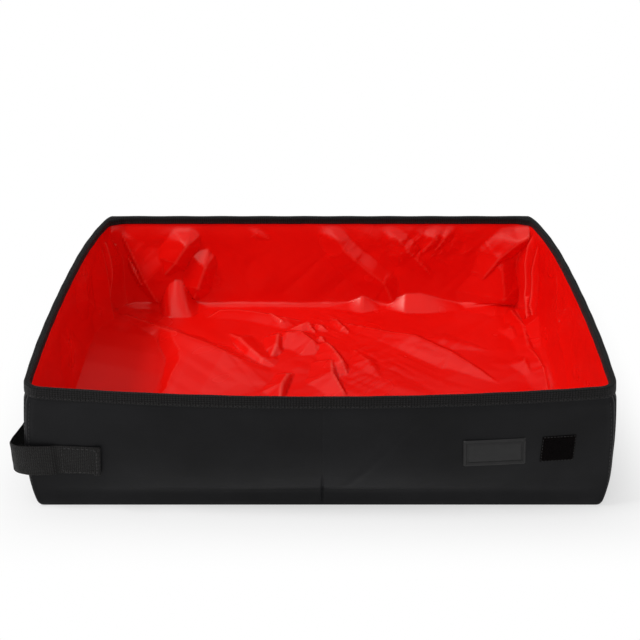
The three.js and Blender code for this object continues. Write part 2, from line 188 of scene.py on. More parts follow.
def half_ring(side, z, depth, steps, out=(0, 0)):
    """Half of the wall's ring, side -1 left or 1 right, one row for each height z and its depth. From the
    front crease it runs along straight lines and quarter ellipses to the back crease. Gives the points and
    each panel's first and last column. Two spare columns lie past the crease at both ends."""
    half_x, half_y = half_sides(z, depth)
    half_x, half_y = half_x + out[0], half_y + out[1]
    rise = np.clip(z / TRAY_H, 0, 1)
    front_r = corner_radius(FRONT_R, rise, depth)
    back_rx = corner_radius(BACK_RX, rise, depth)
    back_ry = corner_radius(BACK_RY, rise**2, depth)
    edge_x = np.minimum(long_wall_edge(z), half_x - np.maximum(front_r, back_rx) - EDGE_GAP)
    edge_front = np.minimum(end_wall_edge(z), half_y - front_r - EDGE_GAP)
    edge_back = np.minimum(end_wall_edge(z), half_y - back_ry - EDGE_GAP)
    crease = np.full_like(z, side * CREASE_X)

    def line(part, start, end):
        t = steps[part][:, None]
        return (1 - t) * start[0] + t * end[0], (1 - t) * start[1] + t * end[1]

    turn = steps["front_arc"][:, None] * math.pi / 2
    front_arc = (half_x - front_r + front_r * np.sin(turn), -(half_y - front_r) - front_r * np.cos(turn))
    turn = steps["back_arc"][:, None] * math.pi / 2
    back_arc = (half_x - back_rx + back_rx * np.cos(turn), half_y - back_ry + back_ry * np.sin(turn))
    parts = [
        line("front", (crease, -half_y), (edge_x, -half_y)),
        line("front_a", (edge_x, -half_y), (half_x - front_r, -half_y)),
        front_arc,
        line("front_b", (half_x, -(half_y - front_r)), (half_x, -edge_front)),
        line("end", (half_x, -edge_front), (half_x, edge_back)),
        line("back_a", (half_x, edge_back), (half_x, half_y - back_ry)),
        back_arc,
        line("back_b", (half_x - back_rx, half_y), (edge_x, half_y)),
        line("back", (edge_x, half_y), (crease, half_y)),
    ]
    x = np.concatenate([parts[0][0][:1]] + [p[0][1:] for p in parts])
    y = np.concatenate([parts[0][1][:1]] + [p[1][1:] for p in parts])
    ends = np.cumsum([0] + [len(p[0]) - 1 for p in parts]) + 2
    x = np.concatenate([2 * x[:1] - x[2:0:-1], x, 2 * x[-1:] - x[-2:-4:-1]])
    y = np.concatenate([y[2:0:-1], y, y[-2:-4:-1]])
    x, y = bowed(x, y, z, half_x, half_y)
    y = rounded_in(x, y, z, depth)
    points = np.stack([side * x, y, np.broadcast_to(z, x.shape)], -1)
    marks = (("front", 0, 1), ("corner_front", 1, 4), ("end", 4, 5), ("corner_back", 5, 8), ("back", 8, 9))
    marks += (("front_seam", 2, 3), ("back_seam", 6, 7))
    return points, {name: (ends[first], ends[last]) for name, first, last in marks}


def grid_normals(points):
    """Unit normals of a grid of points, without its outermost rows: the cross product of the neighbours'
    differences along the columns and along the rows."""
    along = points[2:, 1:-1] - points[:-2, 1:-1]
    up = points[1:-1, 2:] - points[1:-1, :-2]
    normal = np.cross(along, up)
    return normal / np.maximum(np.linalg.norm(normal, axis=-1, keepdims=True), 1e-12)


def add_piece(name, mesh, material):
    """Object with the mesh, in the material."""
    mesh.materials.append(material)
    made = bpy.data.objects.new(name, mesh)
    bpy.context.collection.objects.link(made)
    return made


def sheet_piece(name, face, normal, thickness, material, uv=None):
    """Closed thin piece: the face grid, its copy pushed back along the normals by the thickness, and a rim
    that joins the two. The given normals shade it, so that neighbouring panels look like one cloth."""
    back = face - normal * np.broadcast_to(thickness, face.shape[:2])[..., None]
    count = face.shape[0] * face.shape[1]
    corner = np.arange(count).reshape(face.shape[:2])
    quads = np.stack([corner[:-1, :-1], corner[1:, :-1], corner[1:, 1:], corner[:-1, 1:]], -1)
    quads = quads.reshape(-1, 4)
    border = np.concatenate([corner[:, 0], corner[-1, 1:], corner[-2::-1, -1], corner[0, -2:0:-1]])
    after = np.roll(border, -1)
    rim = np.stack([after, border, border + count, after + count], -1)
    faces = np.concatenate([quads, quads[:, ::-1] + count, rim])
    points = np.concatenate([face.reshape(-1, 3), back.reshape(-1, 3)])
    edge = np.cross(points[rim[:, 1]] - points[rim[:, 0]], points[rim[:, 2]] - points[rim[:, 0]])
    edge /= np.maximum(np.linalg.norm(edge, axis=-1, keepdims=True), 1e-12)
    shades = normal.reshape(-1, 3)
    shading = [shades[quads.ravel()], -shades[quads[:, ::-1].ravel()], np.repeat(edge, 4, axis=0)]
    mesh = bpy.data.meshes.new(name)
    mesh.vertices.add(len(points))
    mesh.vertices.foreach_set("co", (points * MM).astype(np.float32).ravel())
    mesh.loops.add(faces.size)
    mesh.loops.foreach_set("vertex_index", faces.astype(np.int32).ravel())
    mesh.polygons.add(len(faces))
    mesh.polygons.foreach_set("loop_start", np.arange(0, faces.size, 4, dtype=np.int32))
    if uv is not None:
        both = np.concatenate([uv.reshape(-1, 2), uv.reshape(-1, 2)]) * MM
        layer = mesh.uv_layers.new(name="UVMap")
        layer.data.foreach_set("uv", both[faces.ravel()].astype(np.float32).ravel())
    mesh.update(calc_edges=True)
    mesh.shade_smooth()
    mesh.normals_split_custom_set(np.concatenate(shading).tolist())
    return add_piece(name, mesh, material)


def fill(node, **inputs):
    """Gives inputs of a shader node, each named with _ for a space, a value or the link of a socket."""
    for name, given in inputs.items():
        socket = node.inputs[name.replace("_", " ")]
        if isinstance(given, bpy.types.NodeSocket):
            node.id_data.links.new(given, socket)
        else:
            socket.default_value = given
    return node


def new_node(near, kind, **inputs):
    """New shader node in the tree of a node or socket, with its inputs filled."""
    return fill(near.id_data.nodes.new(f"ShaderNode{kind}"), **inputs)


def new_material(name, roughness, specular):
    """Material with a plain surface. Gives it, its surface shader and the socket of the place on a piece."""
    made = bpy.data.materials.new(name)
    made.use_nodes = True
    surface = made.node_tree.nodes["Principled BSDF"]
    fill(surface, Roughness=roughness, Specular_IOR_Level=specular)
    return made, surface, new_node(surface, "TexCoord").outputs["Object"]


def grain(place, scale, detail):
    """Cloudy noise over the place. Gives its value socket."""
    return new_node(place, "TexNoise", Vector=place, Scale=scale, Detail=detail).outputs["Fac"]


def two_tones(value, low, high, dark, light):
    """Colour that goes from dark to light as the value goes from low to high. Gives its colour socket."""
    ramp = new_node(value, "ValToRGB", Fac=value)
    for stop, at, colour in zip(ramp.color_ramp.elements, (low, high), (dark, light)):
        stop.position = at
        stop.color = (*colour, 1)
    return ramp.outputs["Color"]


def relief(value, depth_mm, under=None):
    """Bump of the given depth from a value, over another bump if there is one. Gives its normal socket."""
    bump = new_node(value, "Bump", Strength=1, Distance=depth_mm * MM, Height=value)
    if under is not None:
        fill(bump, Normal=under)
    return bump.outputs["Normal"]


def range_of(value, low, high):
    """The value, which lies from 0 to 1, moved to lie from low to high. Gives its socket."""
    return new_node(value, "MapRange", Value=value, To_Min=low, To_Max=high).outputs["Result"]


coated_cloth, surface, place = new_material("coated_cloth", 0.46, 0.11)
patches = grain(place, 18, 5)
fill(
    surface,
    Base_Color=two_tones(patches, 0.3, 0.72, (0.0036, 0.0036, 0.0041), (0.008, 0.008, 0.009)),
    Roughness=range_of(grain(place, 60, 4), 0.42, 0.56),
    Normal=relief(patches, 0.9, relief(grain(place, 1900, 1), 0.05)),
)


def with_wall(piece):
    """Bakes a wall's cloth in place: its transform goes into its mesh."""
    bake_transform(piece)


def with_corner(piece, side):
    """Keeps a piece of a corner on its half of the base, with a mesh of its own."""
    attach(piece, f"base_{side}")
    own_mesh(piece)


def with_both_halves(piece):
    """Bakes a piece that spans both halves in place: its transform goes into its mesh."""
    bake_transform(piece)


def shell_relief(points, panels):
    """How far the cloth stands off its even surface: slow waves over the board, a sharp nick low down and
    a soft dip at the crease, one faint slanting fold, and a full edge beside a groove at each seam."""
    x, y, z = points[..., 0], points[..., 1], points[..., 2]
    height = 0.28 * np.sin(x / 27 + y / 41 + 0.8) * np.sin(z / 23 + x / 90 - y / 60)
    height += 0.16 * np.sin(x / 11.7 - z / 17 + y / 13)
    off = np.abs(x - CREASE_X)
    sharp = 0.35 + 0.65 * eased((40 - z) / 14)
    height -= sharp * NICK * np.exp(-((off / NICK_W) ** 2)) + DIP * np.exp(-off / DIP_W)
    slant = (x - 15.4) * 0.781 - (z - 18) * 0.624
    reach = eased((z - 14) / 10) * eased((82 - z) / 10) * (y < 0)
    height += 0.5 * reach * np.exp(-((slant / 3.2) ** 2))
    for seam, share in SEAM_SHARE.items():
        first, last = panels[seam]
        middle = points[first + round((last - first) * share)][None]
        run = np.linalg.norm(points - middle, axis=-1)
        run *= np.sign(np.arange(len(points)) - (first + (last - first) * share))[:, None]
        height += 1.0 * np.exp(-(((run + 1.6) / 1.7) ** 2)) - 0.9 * np.exp(-(((run - 1.6) / 0.9) ** 2))
    return height * eased(z / 4) * (0.25 + 0.75 * eased((TRAY_H - z) / 12))


def fewer(panels, spare):
    """The panels' columns, counted without the spare ones before them."""
    return {name: (first - spare, last - spare) for name, (first, last) in panels.items()}


# Each panel's cut with its turned-in foot and its edge under the tape.
ring_steps = even_steps(
    front_a=3,
    front_arc=28 // ROUGH_STEP,
    front_b=8 // ROUGH_STEP,
    end=90 // ROUGH_STEP,
    back_a=8 // ROUGH_STEP,
    back_arc=44 // ROUGH_STEP,
    back_b=3,
)
ring_steps["front"] = closing_in(90 // ROUGH_STEP)
ring_steps["back"] = 1 - ring_steps["front"][::-1]
turn = np.linspace(0, math.pi / 2, 6)
up_steps = np.arange(TURN_R + 1.5 * ROUGH_STEP, CLOTH_TOP_Z - 0.5, 1.5 * ROUGH_STEP)
foot_insets = np.concatenate([[FLANGE + 2, FLANGE + 1, FLANGE, 4, 2.6], TURN_R * (1 - np.sin(turn))])
foot_heights = np.concatenate([np.zeros(5), TURN_R * (1 - np.cos(turn))])
shell_z = np.concatenate([foot_heights, up_steps, [CLOTH_TOP_Z, CLOTH_TOP_Z + 1, CLOTH_TOP_Z + 2]])
shell_inset = np.concatenate([foot_insets, np.zeros(len(shell_z) - len(foot_insets))])
shell_faces = {}
for side, sign in (("left", -1), ("right", 1)):
    points, panels = half_ring(sign, shell_z, SHELL_DEPTH + shell_inset, ring_steps, fullness(shell_z))
    flat = points[1:-1, 1:-1]
    lifted = flat + sign * grid_normals(points) * shell_relief(flat, fewer(panels, 1))[..., None]
    outward = sign * grid_normals(lifted)
    lifted = lifted[1:-1, 1:-1]
    panels = fewer(panels, 2)
    shell_faces[side] = (lifted, outward, panels)
    for wall in WALLS:
        part = slice(panels[wall][0], panels[wall][1] + 1)
        name = f"{wall}_{side}"
        face, normal = lifted[part][::sign], outward[part][::sign]
        panel = sheet_piece(f"cloth_{name}", face, normal, SHELL_T, coated_cloth)
        if wall.startswith("corner"):
            with_corner(panel, side)
        else:
            with_wall(panel)
        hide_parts(f"shell_{name}")


# The shell's base
# The same black cloth under the base boards, sewn over the panels' turned-in feet. One piece spans both
# halves, with a raised fold along the centre crease.
UNDER_INSET, UNDER_Z, UNDER_T = 5, 0.15, 0.8


def spare_ends(values):
    """The same values with two more at each end, a step apart."""
    first, last = values[1] - values[0], values[-1] - values[-2]
    return np.concatenate(
        [values[0] - first * np.array([2, 1]), values, values[-1] + last * np.array([1, 2])]
    )


under_x, under_y = half_sides(np.array(0.0), SHELL_DEPTH + UNDER_INSET)
out = closing_in(70 // ROUGH_STEP)
columns = [CREASE_X - (CREASE_X + under_x) * out[:0:-1], CREASE_X + (under_x - CREASE_X) * out]
rows = np.linspace(under_y, -under_y, 80 // ROUGH_STEP)
X, Y = np.meshgrid(spare_ends(np.concatenate(columns)), spare_ends(rows), indexing="ij")
Z = UNDER_Z + 0.7 * np.exp(-(((X - CREASE_X) / 1.4) ** 2)) + 0.12 * (1 + np.sin(X / 23) * np.sin(Y / 31))
points = np.stack([X, Y, Z], -1)
face, normal = points[2:-2, 2:-2], grid_normals(points)[1:-1, 1:-1]
under = sheet_piece("cloth_base", face, normal, UNDER_T, coated_cloth)
with_both_halves(under)
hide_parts("shell_base_left", "shell_base_right")


# The stiffener boards
# Grey pressed board, one for each half of the base and for each wall panel. They lie between shell and
# lining, so they show only at the folds. These are the model's own solids.
board, surface, place = new_material("stiffener_board", 0.85, 0.3)
fill(
    surface,
    Base_Color=two_tones(grain(place, 240, 6), 0.3, 0.7, (0.2, 0.18, 0.14), (0.33, 0.3, 0.24)),
    Normal=relief(grain(place, 900, 4), 0.15),
)
for name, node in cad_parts.items():
    if name.startswith("board"):
        node.data.materials.clear()
        node.data.materials.append(board)


# The lining's floor
# Red film cloth over the base boards, loose and crumpled, one piece for both halves. Its creases run on
# up the walls, because floor and walls are one height map over the lining laid out flat.
FLOOR_Z = 4.4
LINING_DEPTH, LINING_RIM_DEPTH = 5.2, 3.25
TAPER_START, TAPER_END = 68, 89.5
LINING_T = 0.35
FOLD_R = 8
FOLD_FADE = 30
CREST_R = 1.1
CELL = 1.7
FLOOR_X, FLOOR_Y = (float(v) for v in half_sides(np.array(FLOOR_Z), LINING_DEPTH))


def lining_depth(z):
    """Depth of the film's face inside the rim tape's face: less above the boards."""
    share = np.clip((z - TAPER_START) / (TAPER_END - TAPER_START), 0, 1) ** 2.4
    return LINING_DEPTH + (LINING_RIM_DEPTH - LINING_DEPTH) * share


def bent(past, radius):
    """Rounded fold between floor and wall. past is the way beyond the fold, below zero on the floor. Gives
    the inset from the wall, the rise from the floor and the angle turned, from 0 to a quarter turn."""
    turn = math.pi / 4 * (1 + np.clip(past / radius, -1, 1))
    inset = np.where(past < -radius, -past, radius - radius * np.sin(turn))
    rise = np.where(past > radius, past, radius - radius * np.cos(turn))
    return inset, rise, turn


# Where the film spans the corner between floor and wall in a flat facet: the place along the wall, how far
# out on the floor the facet starts and how far up the wall it ends.
BACK_SPAN = (
    [-200, -160, -150, -144, -139, -133, -128, -124, -120, -116, -106, -60, 0, 27, 40, 57, 63, 80, 95, 134]
    + [174, 200],
    [5, 8, 14, 22, 24, 24, 24, 24, 23, 16, 6, 6, 6, 12, 14, 9, 9, 17, 18, 16, 12, 8],
    [5, 5, 8, 22, 32, 36, 34, 26, 13, 5, 3, 3, 3, 6, 12.5, 4, 4, 14.5, 14.5, 4.5, 3, 5],
)
FRONT_SPAN = ([-200, -80, 0, 60, 200], [8, 18, 10, 20, 8], [8, 10, 8, 12, 8])
LEFT_SPAN = (
    [-150, -60, -20, 20, 50, 80, 100, 116, 130, 146],
    [10, 30, 52, 60, 62, 58, 48, 26, 8, 5],
    [10, 9, 12, 14, 14.5, 13.5, 10.5, 7, 5, 5],
)
RIGHT_SPAN = ([-150, -60, 0, 30, 60, 98, 120, 146], [8, 14, 5, 9, 6, 12, 8, 10], [10, 8, 6, 12, 6, 16, 8, 8])


def bridged(X, Y, inset_x, inset_y, up):
    """Moves places of the film out of the corners between floor and wall. A place nearer to the corner than
    its wall's facet goes straight onto that facet. Insets are from the walls and up is from the floor."""

    def clear(inset, up, along, low_span, high_span, high):
        out, rise = (
            np.where(high, *(np.interp(along, span[0], span[k]) for span in (high_span, low_span)))
            for k in (1, 2)
        )
        short = np.maximum(1 - inset / out - up / rise, 0) / (1 / out**2 + 1 / rise**2)
        return inset + short / out, up + short / rise

    inset_y, up = clear(inset_y, up, X, FRONT_SPAN, BACK_SPAN, Y > 0)
    inset_x, up = clear(inset_x, up, Y, LEFT_SPAN, RIGHT_SPAN, X > 0)
    return inset_x, inset_y, up


def laid_out(X, Y, stand):
    """The lining from its flat plan, standing off its board by the given amount: past the floor's edge, the
    way out is the way up the wall. The fold between them is round and turns sharp towards the corners."""
    radius_x = np.maximum(FOLD_R * eased((FLOOR_Y - np.abs(Y)) / FOLD_FADE), 1e-3)
    radius_y = np.maximum(FOLD_R * eased((FLOOR_X - np.abs(X)) / FOLD_FADE), 1e-3)
    inset_x, rise_x, turn_x = bent(np.abs(X) - FLOOR_X, radius_x)
    inset_y, rise_y, turn_y = bent(np.abs(Y) - FLOOR_Y, radius_y)
    normal = np.stack([np.sin(turn_x), np.sin(turn_y), np.cos(turn_x) * np.cos(turn_y)])
    stand = stand / np.linalg.norm(normal, axis=0) * normal
    inset_x, inset_y, up = bridged(X, Y, inset_x + stand[0], inset_y + stand[1], rise_x + rise_y + stand[2])
    z = FLOOR_Z + up
    half_x, half_y = half_sides(z, lining_depth(z))
    x = np.sign(X) * half_x * (1 - inset_x / FLOOR_X)
    y = np.sign(Y) * half_y * (1 - inset_y / FLOOR_Y)
    x, y = bowed(x, y, z, half_x, half_y)
    return np.stack([x, rounded_in(x, y, z, lining_depth(z)), z], -1)


def roof(X, Y, line, behind, ahead):
    """Pointed fold along a line of places, each with its height: it falls away from the line in flat planes,
    also past its ends. They reach as far as behind, on the left of the line's way, and ahead, on its right,
    where it is highest."""
    line = np.array(line, float)
    top = np.abs(line[:, 2]).max()
    best = np.zeros_like(X)
    for start, end in zip(line[:-1], line[1:]):
        way = end[:2] - start[:2]
        length = math.hypot(*way)
        t = np.clip(((X - start[0]) * way[0] + (Y - start[1]) * way[1]) / length**2, 0, 1)
        off_x, off_y = X - start[0] - t * way[0], Y - start[1] - t * way[1]
        past = np.abs(off_x * way[0] + off_y * way[1]) / length
        beside = (off_y * way[0] - off_x * way[1]) / length
        off = np.maximum(np.maximum(past, np.abs(beside)), 0.72 * (past + np.abs(beside))) + 1e-9
        slope = top / (ahead + (behind - ahead) * (beside / off + 1) / 2)
        fall = slope * (np.sqrt(off**2 + CREST_R**2) - CREST_R)
        best = np.maximum(best, np.abs(start[2] + t * (end[2] - start[2])) - fall)
    return best * np.sign(line[:, 2].sum())


def zigzag(run, pitch):
    """Straight waves of slope 2: up and down between 0 and the pitch."""
    return np.abs((run / pitch) % 1 - 0.5) * 2 * pitch


def crinkle(X, Y, centre, spread, height, size, seed):
    """Patch of small flat facets with straight edges: of three pairs of straight waves the lower one of
    each pair, and of these the highest, faded out from the centre."""
    draw = np.random.default_rng(seed)
    moved_x = X + 0.35 * zigzag(Y + draw.uniform(0, 99), size * 2.3)
    moved_y = Y + 0.35 * zigzag(X + draw.uniform(0, 99), size * 2.9)
    highest = np.zeros_like(X)
    for k in range(3):
        angle, pitch = draw.uniform(0, math.pi), size * draw.uniform(0.8, 1.4, 2)
        first = zigzag(moved_x * math.cos(angle) + moved_y * math.sin(angle), pitch[0])
        turned = angle + draw.uniform(0.9, 2.2)
        second = zigzag(moved_x * math.cos(turned) + moved_y * math.sin(turned), pitch[1])
        highest = np.maximum(highest, np.minimum(first, second))
    far = ((X - centre[0]) / spread[0]) ** 2 + ((Y - centre[1]) / spread[1]) ** 2
    return height * (highest / size - 0.5) * np.exp(-far)


# Folds of the film on its flat plan: the line with its heights, and the reach behind and ahead of it.
FLOOR_FOLDS = [
    (((-178, 122, 3), (-160, 107, 5), (-143, 92, 7), (-127, 78, 9.5), (-104, 61, 10), (-81, 43, 9.5),
      (-68, 35, 7), (-56, 22, 0)), 14, 74),
    (((-152, 84, 0), (-147, 66, -8), (-141, 40, -9), (-142, 4, -7), (-150, -40, 0)), 20, 44),
    (((-106, 121, 0), (-92, 130, 4), (-75, 129, 4.4), (-51, 121, 4.4), (-33, 114, 4.8), (-17, 115, 0)),
     7, 13),
    (((-54, 129, 0), (-45, 120, 5.6), (-35, 109, 5)), 3, 4),
    (((-83, 92, 0), (-71, 75, 5), (-59, 54, 6), (-50, 41, 5), (-43, 35, 0)), 16, 7),
    (((-38, 94, 0), (-37, 79, 6), (-38, 62, 6), (-45, 38, 0)), 4, 13),
    (((-32, 75, 0), (-28, 83, 6), (-18, 84, 7), (-7, 70, 6), (0, 59, 0)), 6, 22),
    (((-2, 72, 0), (6, 66, 5), (12, 50, 7), (18, 31, 7), (23, 18, 0)), 5, 15),
    (((2, 38, 0), (10, 31, 6.5), (10, 11, 7.5), (18, -11, 4)), 4, 20),
    (((-23, 23, 0), (-27, 13, 5), (-31, -5, 7), (-32, -20, 4)), 3, 15),
    (((-29, 98, 0), (-18, 102, 4), (-11, 105, 4.5), (-3, 90, 0)), 3, 6),
    (((-6, 109, 0), (0, 103, 3), (9, 94, 0)), 3, 4),
    (((-3, 86, 0), (1, 81, 3), (6, 68, 0)), 3, 4),
    (((8, 123, 0), (15, 115, 3), (22, 100, 2.6), (27, 92, 0)), 3, 5),
    (((28, 64, 0), (40, 38, 3), (52, 10, 0)), 9, 12),
    (((12, 120, 0), (42, 99, 2.4), (62, 89, 3.6), (84, 78, 5.2), (113, 50, 5.2), (151, 5, 0)), 9, 20),
    (((86, 78, 0), (110, 78, 2.2), (150, 60, 0)), 12, 15),
    (((178, 140, 2), (184, 98, 4), (182, 62, 3), (189, 22, 5), (185, -20, 2), (188, -90, 3),
      (184, -146, 1)), 12, 15),
    (((178, 120, 0), (172, 96, 3), (178, 70, 0)), 10, 8),
    (((182, 60, 0), (174, 36, 3.4), (180, 8, 0)), 10, 9),
    (((-186, 0, 3), (-188, -30, 7), (-190, -60, 8), (-186, -140, 1)), 46, 10),
    (((-150, -30, 0), (-90, -60, 3), (-20, -90, 0)), 20, 34),
    (((20, -40, 0), (80, -74, 4), (150, -86, 0)), 30, 18),
    (((-60, -146, 2), (0, -148, 5), (70, -146, 1)), 12, 14),
]
BACK_FOLDS = [
    (((-182, 226, 0), (-171, 202, 3), (-160, 176, 8), (-151, 152, 6)), 40, 8),
    (((-176, 200, 0), (-170, 186, 5), (-164, 173, 6), (-158, 163, 1)), 4, 4),
    (((-117, 226, 1), (-121, 212, 8), (-131, 196, 9), (-146, 178, 4)), 12, 19),
    (((-102, 208, 0), (-105, 190, 7), (-112, 170, 8), (-121, 150, 0)), 10, 20),
    (((-72, 231, 0), (-58, 223, 2), (-44, 216, 0)), 4, 6),
    (((2, 238, 2), (12, 224, 4), (23, 206, 5.4), (40, 190, 6), (58, 174, 6), (68, 152, 2)), 11, 20),
    (((58, 234, 1), (80, 206, 4.4), (104, 178, 0)), 9, 18),
    (((110, 236, 3), (104, 220, 4.4), (92, 202, 0)), 9, 9),
    (((124, 238, 2), (114, 220, 3.4), (104, 204, 0)), 6, 6),
    (((141, 160, 0), (152, 182, 4.6), (162, 199, 7), (178, 214, 7), (196, 230, 3)), 18, 9),
    (((166, 208, 1), (166, 187, 6), (170, 160, 11), (174, 146, 6)), 22, 40),
    (((-196, 148, 4), (-194, 200, 2), (-194, 240, 0)), 16, 16),
    (((196, 148, 5), (194, 200, 3), (194, 240, 0)), 22, 22),
]
LEFT_FOLDS = [
    (((-264, 122, 1), (-236, 116, 6), (-206, 112, 7), (-186, 106, 7), (-172, 106, 2)), 8, 42),
    (((-268, 132, 2), (-232, 130, 5), (-204, 128, 1)), 5, 6),
    (((-284, 30, 0), (-250, 52, 4), (-216, 96, 0)), 34, 16),
    (((-262, -30, 0), (-232, -8, 3.6), (-206, 40, 0)), 20, 34),
    (((-196, 146, 4), (-240, 146, 3), (-284, 146, 0)), 20, 20),
]
RIGHT_FOLDS = [
    (((286, 140, 1), (262, 138, 5), (214, 131, 8), (196, 114, 5), (188, 100, 0)), 7, 6),
    (((266, 126, 1), (240, 124, 5), (210, 118, 5), (198, 104, 0)), 8, 6),
    (((270, 60, 0), (236, 20, 4), (204, -40, 0)), 34, 44),
    (((196, 146, 4), (240, 146, 3), (284, 146, 0)), 20, 20),
]
# Crinkled patches: centre, spread, height, size of the facets, and the seed of their draw.
CRINKLES = [
    ((10, 106), (30, 26), 1.6, 15, 3),
    ((30, 40), (60, 60), 1.2, 26, 11),
    ((60, 0), (220, 180), 1.5, 62, 5),
    ((0, 200), (240, 60), 1.6, 50, 14),
    ((100, 215), (50, 26), 1.8, 20, 8),
    ((188, 60), (12, 110), 1.2, 26, 6),
]
SLACK = 0.6
LEAST_RISE = -0.35
RISE_FADE = (70, 84.5)


def film_rise(X, Y):
    """How far the film stands off its board: folds, crumpled patches and slow waves together, held back
    softly where they would go into the board."""
    total = SLACK + 0.7 * np.sin(X / 31 + 0.7 * np.sin(Y / 47)) * np.sin(Y / 38 + 1.3)
    folds = [roof(X, Y, *fold) for fold in FLOOR_FOLDS + BACK_FOLDS + LEFT_FOLDS + RIGHT_FOLDS]
    total += np.max(folds, axis=0) + np.min(folds, axis=0)
    for patch in CRINKLES:
        total += crinkle(X, Y, *patch)
    over = total - LEAST_RISE
    up = np.maximum(np.abs(X) - FLOOR_X, np.abs(Y) - FLOOR_Y)
    shown = 1 - eased((up - RISE_FADE[0]) / (RISE_FADE[1] - RISE_FADE[0]))
    return (LEAST_RISE + (over + np.sqrt(over**2 + 0.3)) / 2) * shown


def film_points(X, Y):
    """The crumpled film over its flat plan."""
    return laid_out(X, Y, film_rise(X, Y))


def steps_between(start, end, cell):
    """Even steps from start to end, none longer than cell."""
    return np.linspace(start, end, max(2, math.ceil(abs(end - start) / cell) + 1))


film, surface, place = new_material("red_film_cloth", 0.26, 0.3)
red = two_tones(grain(place, 14, 2), 0.3, 0.7, (0.76, 0.0034, 0.0016), (0.82, 0.0052, 0.0026))
# Painted light and shade from the crease value: the red is painted lighter and pinker along ridges, a
# painted highlight, and darker in valleys, a painted shade.
bend = new_node(surface, "Attribute")
bend.attribute_name = "crease"
for low, high, most, colour in (
    (0.14, 1.0, 0.5, (0.93, 0.1, 0.075)),
    (-0.2, -1.2, 0.4, (0.4, 0.001, 0.0006)),
):
    sharp = new_node(surface, "MapRange", Value=bend.outputs["Fac"])
    fill(sharp, From_Min=low, From_Max=high, To_Max=most)
    painted_light_and_shade = new_node(surface, "Mix")
    painted_light_and_shade.data_type = "RGBA"
    red = fill(painted_light_and_shade, Factor=sharp.outputs["Result"], A=red, B=(*colour, 1)).outputs["Result"]
fill(
    surface,
    Base_Color=red,
    Roughness=range_of(grain(place, 30, 1), 0.22, 0.3),
    Specular_Tint=(1, 0.9, 0.8, 1),
    Normal=relief(grain(place, 40, 1), 0.02, relief(grain(place, 1500, 1), 0.003)),
)


def film_panel(name, points):
    """Panel of the lining from its grid, which has one spare row and column all round. Its crease value
    says how sharply the film bends over at a point: above zero on ridges, below zero in valleys."""
    normal = grid_normals(points)
    inner = points[1:-1, 1:-1]
    around = points[2:, 1:-1] + points[:-2, 1:-1] + points[1:-1, 2:] + points[1:-1, :-2]
    step = np.linalg.norm(points[2:, 1:-1] - points[:-2, 1:-1], axis=-1) / 2
    crease = ((4 * inner - around) * normal).sum(-1) / np.maximum(step, 0.5)
    panel = sheet_piece(name, inner, normal, LINING_T, film)
    layer = panel.data.attributes.new("crease", "FLOAT", "POINT")
    layer.data.foreach_set("value", np.tile(crease.ravel(), 2).astype(np.float32))
    return panel


def spare(values):
    """The same values with one more at each end."""
    return spare_ends(values)[1:-1]


left_columns = steps_between(-PLAN_X, CREASE_X, CELL)
right_columns = steps_between(CREASE_X, PLAN_X, CELL)
end_rows = steps_between(-PLAN_Y, PLAN_Y, CELL)
floor_columns = np.concatenate([[-FLOOR_X], left_columns, right_columns[1:], [FLOOR_X]])
floor_rows = np.concatenate([[-FLOOR_Y], end_rows, [FLOOR_Y]])
X, Y = np.meshgrid(spare(floor_columns), spare(floor_rows), indexing="ij")
floor = film_panel("film_base", film_points(X, Y))
with_both_halves(floor)
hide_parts("lining_base_left", "lining_base_right")


# The lining's walls and corners
# The same film cloth up the inside of each wall, tucked under the rim tape. The loose cloth in the corners
# rides on its half of the base.
CORNER_CELLS = {"a": 9, "arc": 42, "b": 5}
CORNER_SLACK = 12
TUCK = 0.8
rises = steps_between(0, CLOTH_TOP_Z - FLOOR_Z, CELL)


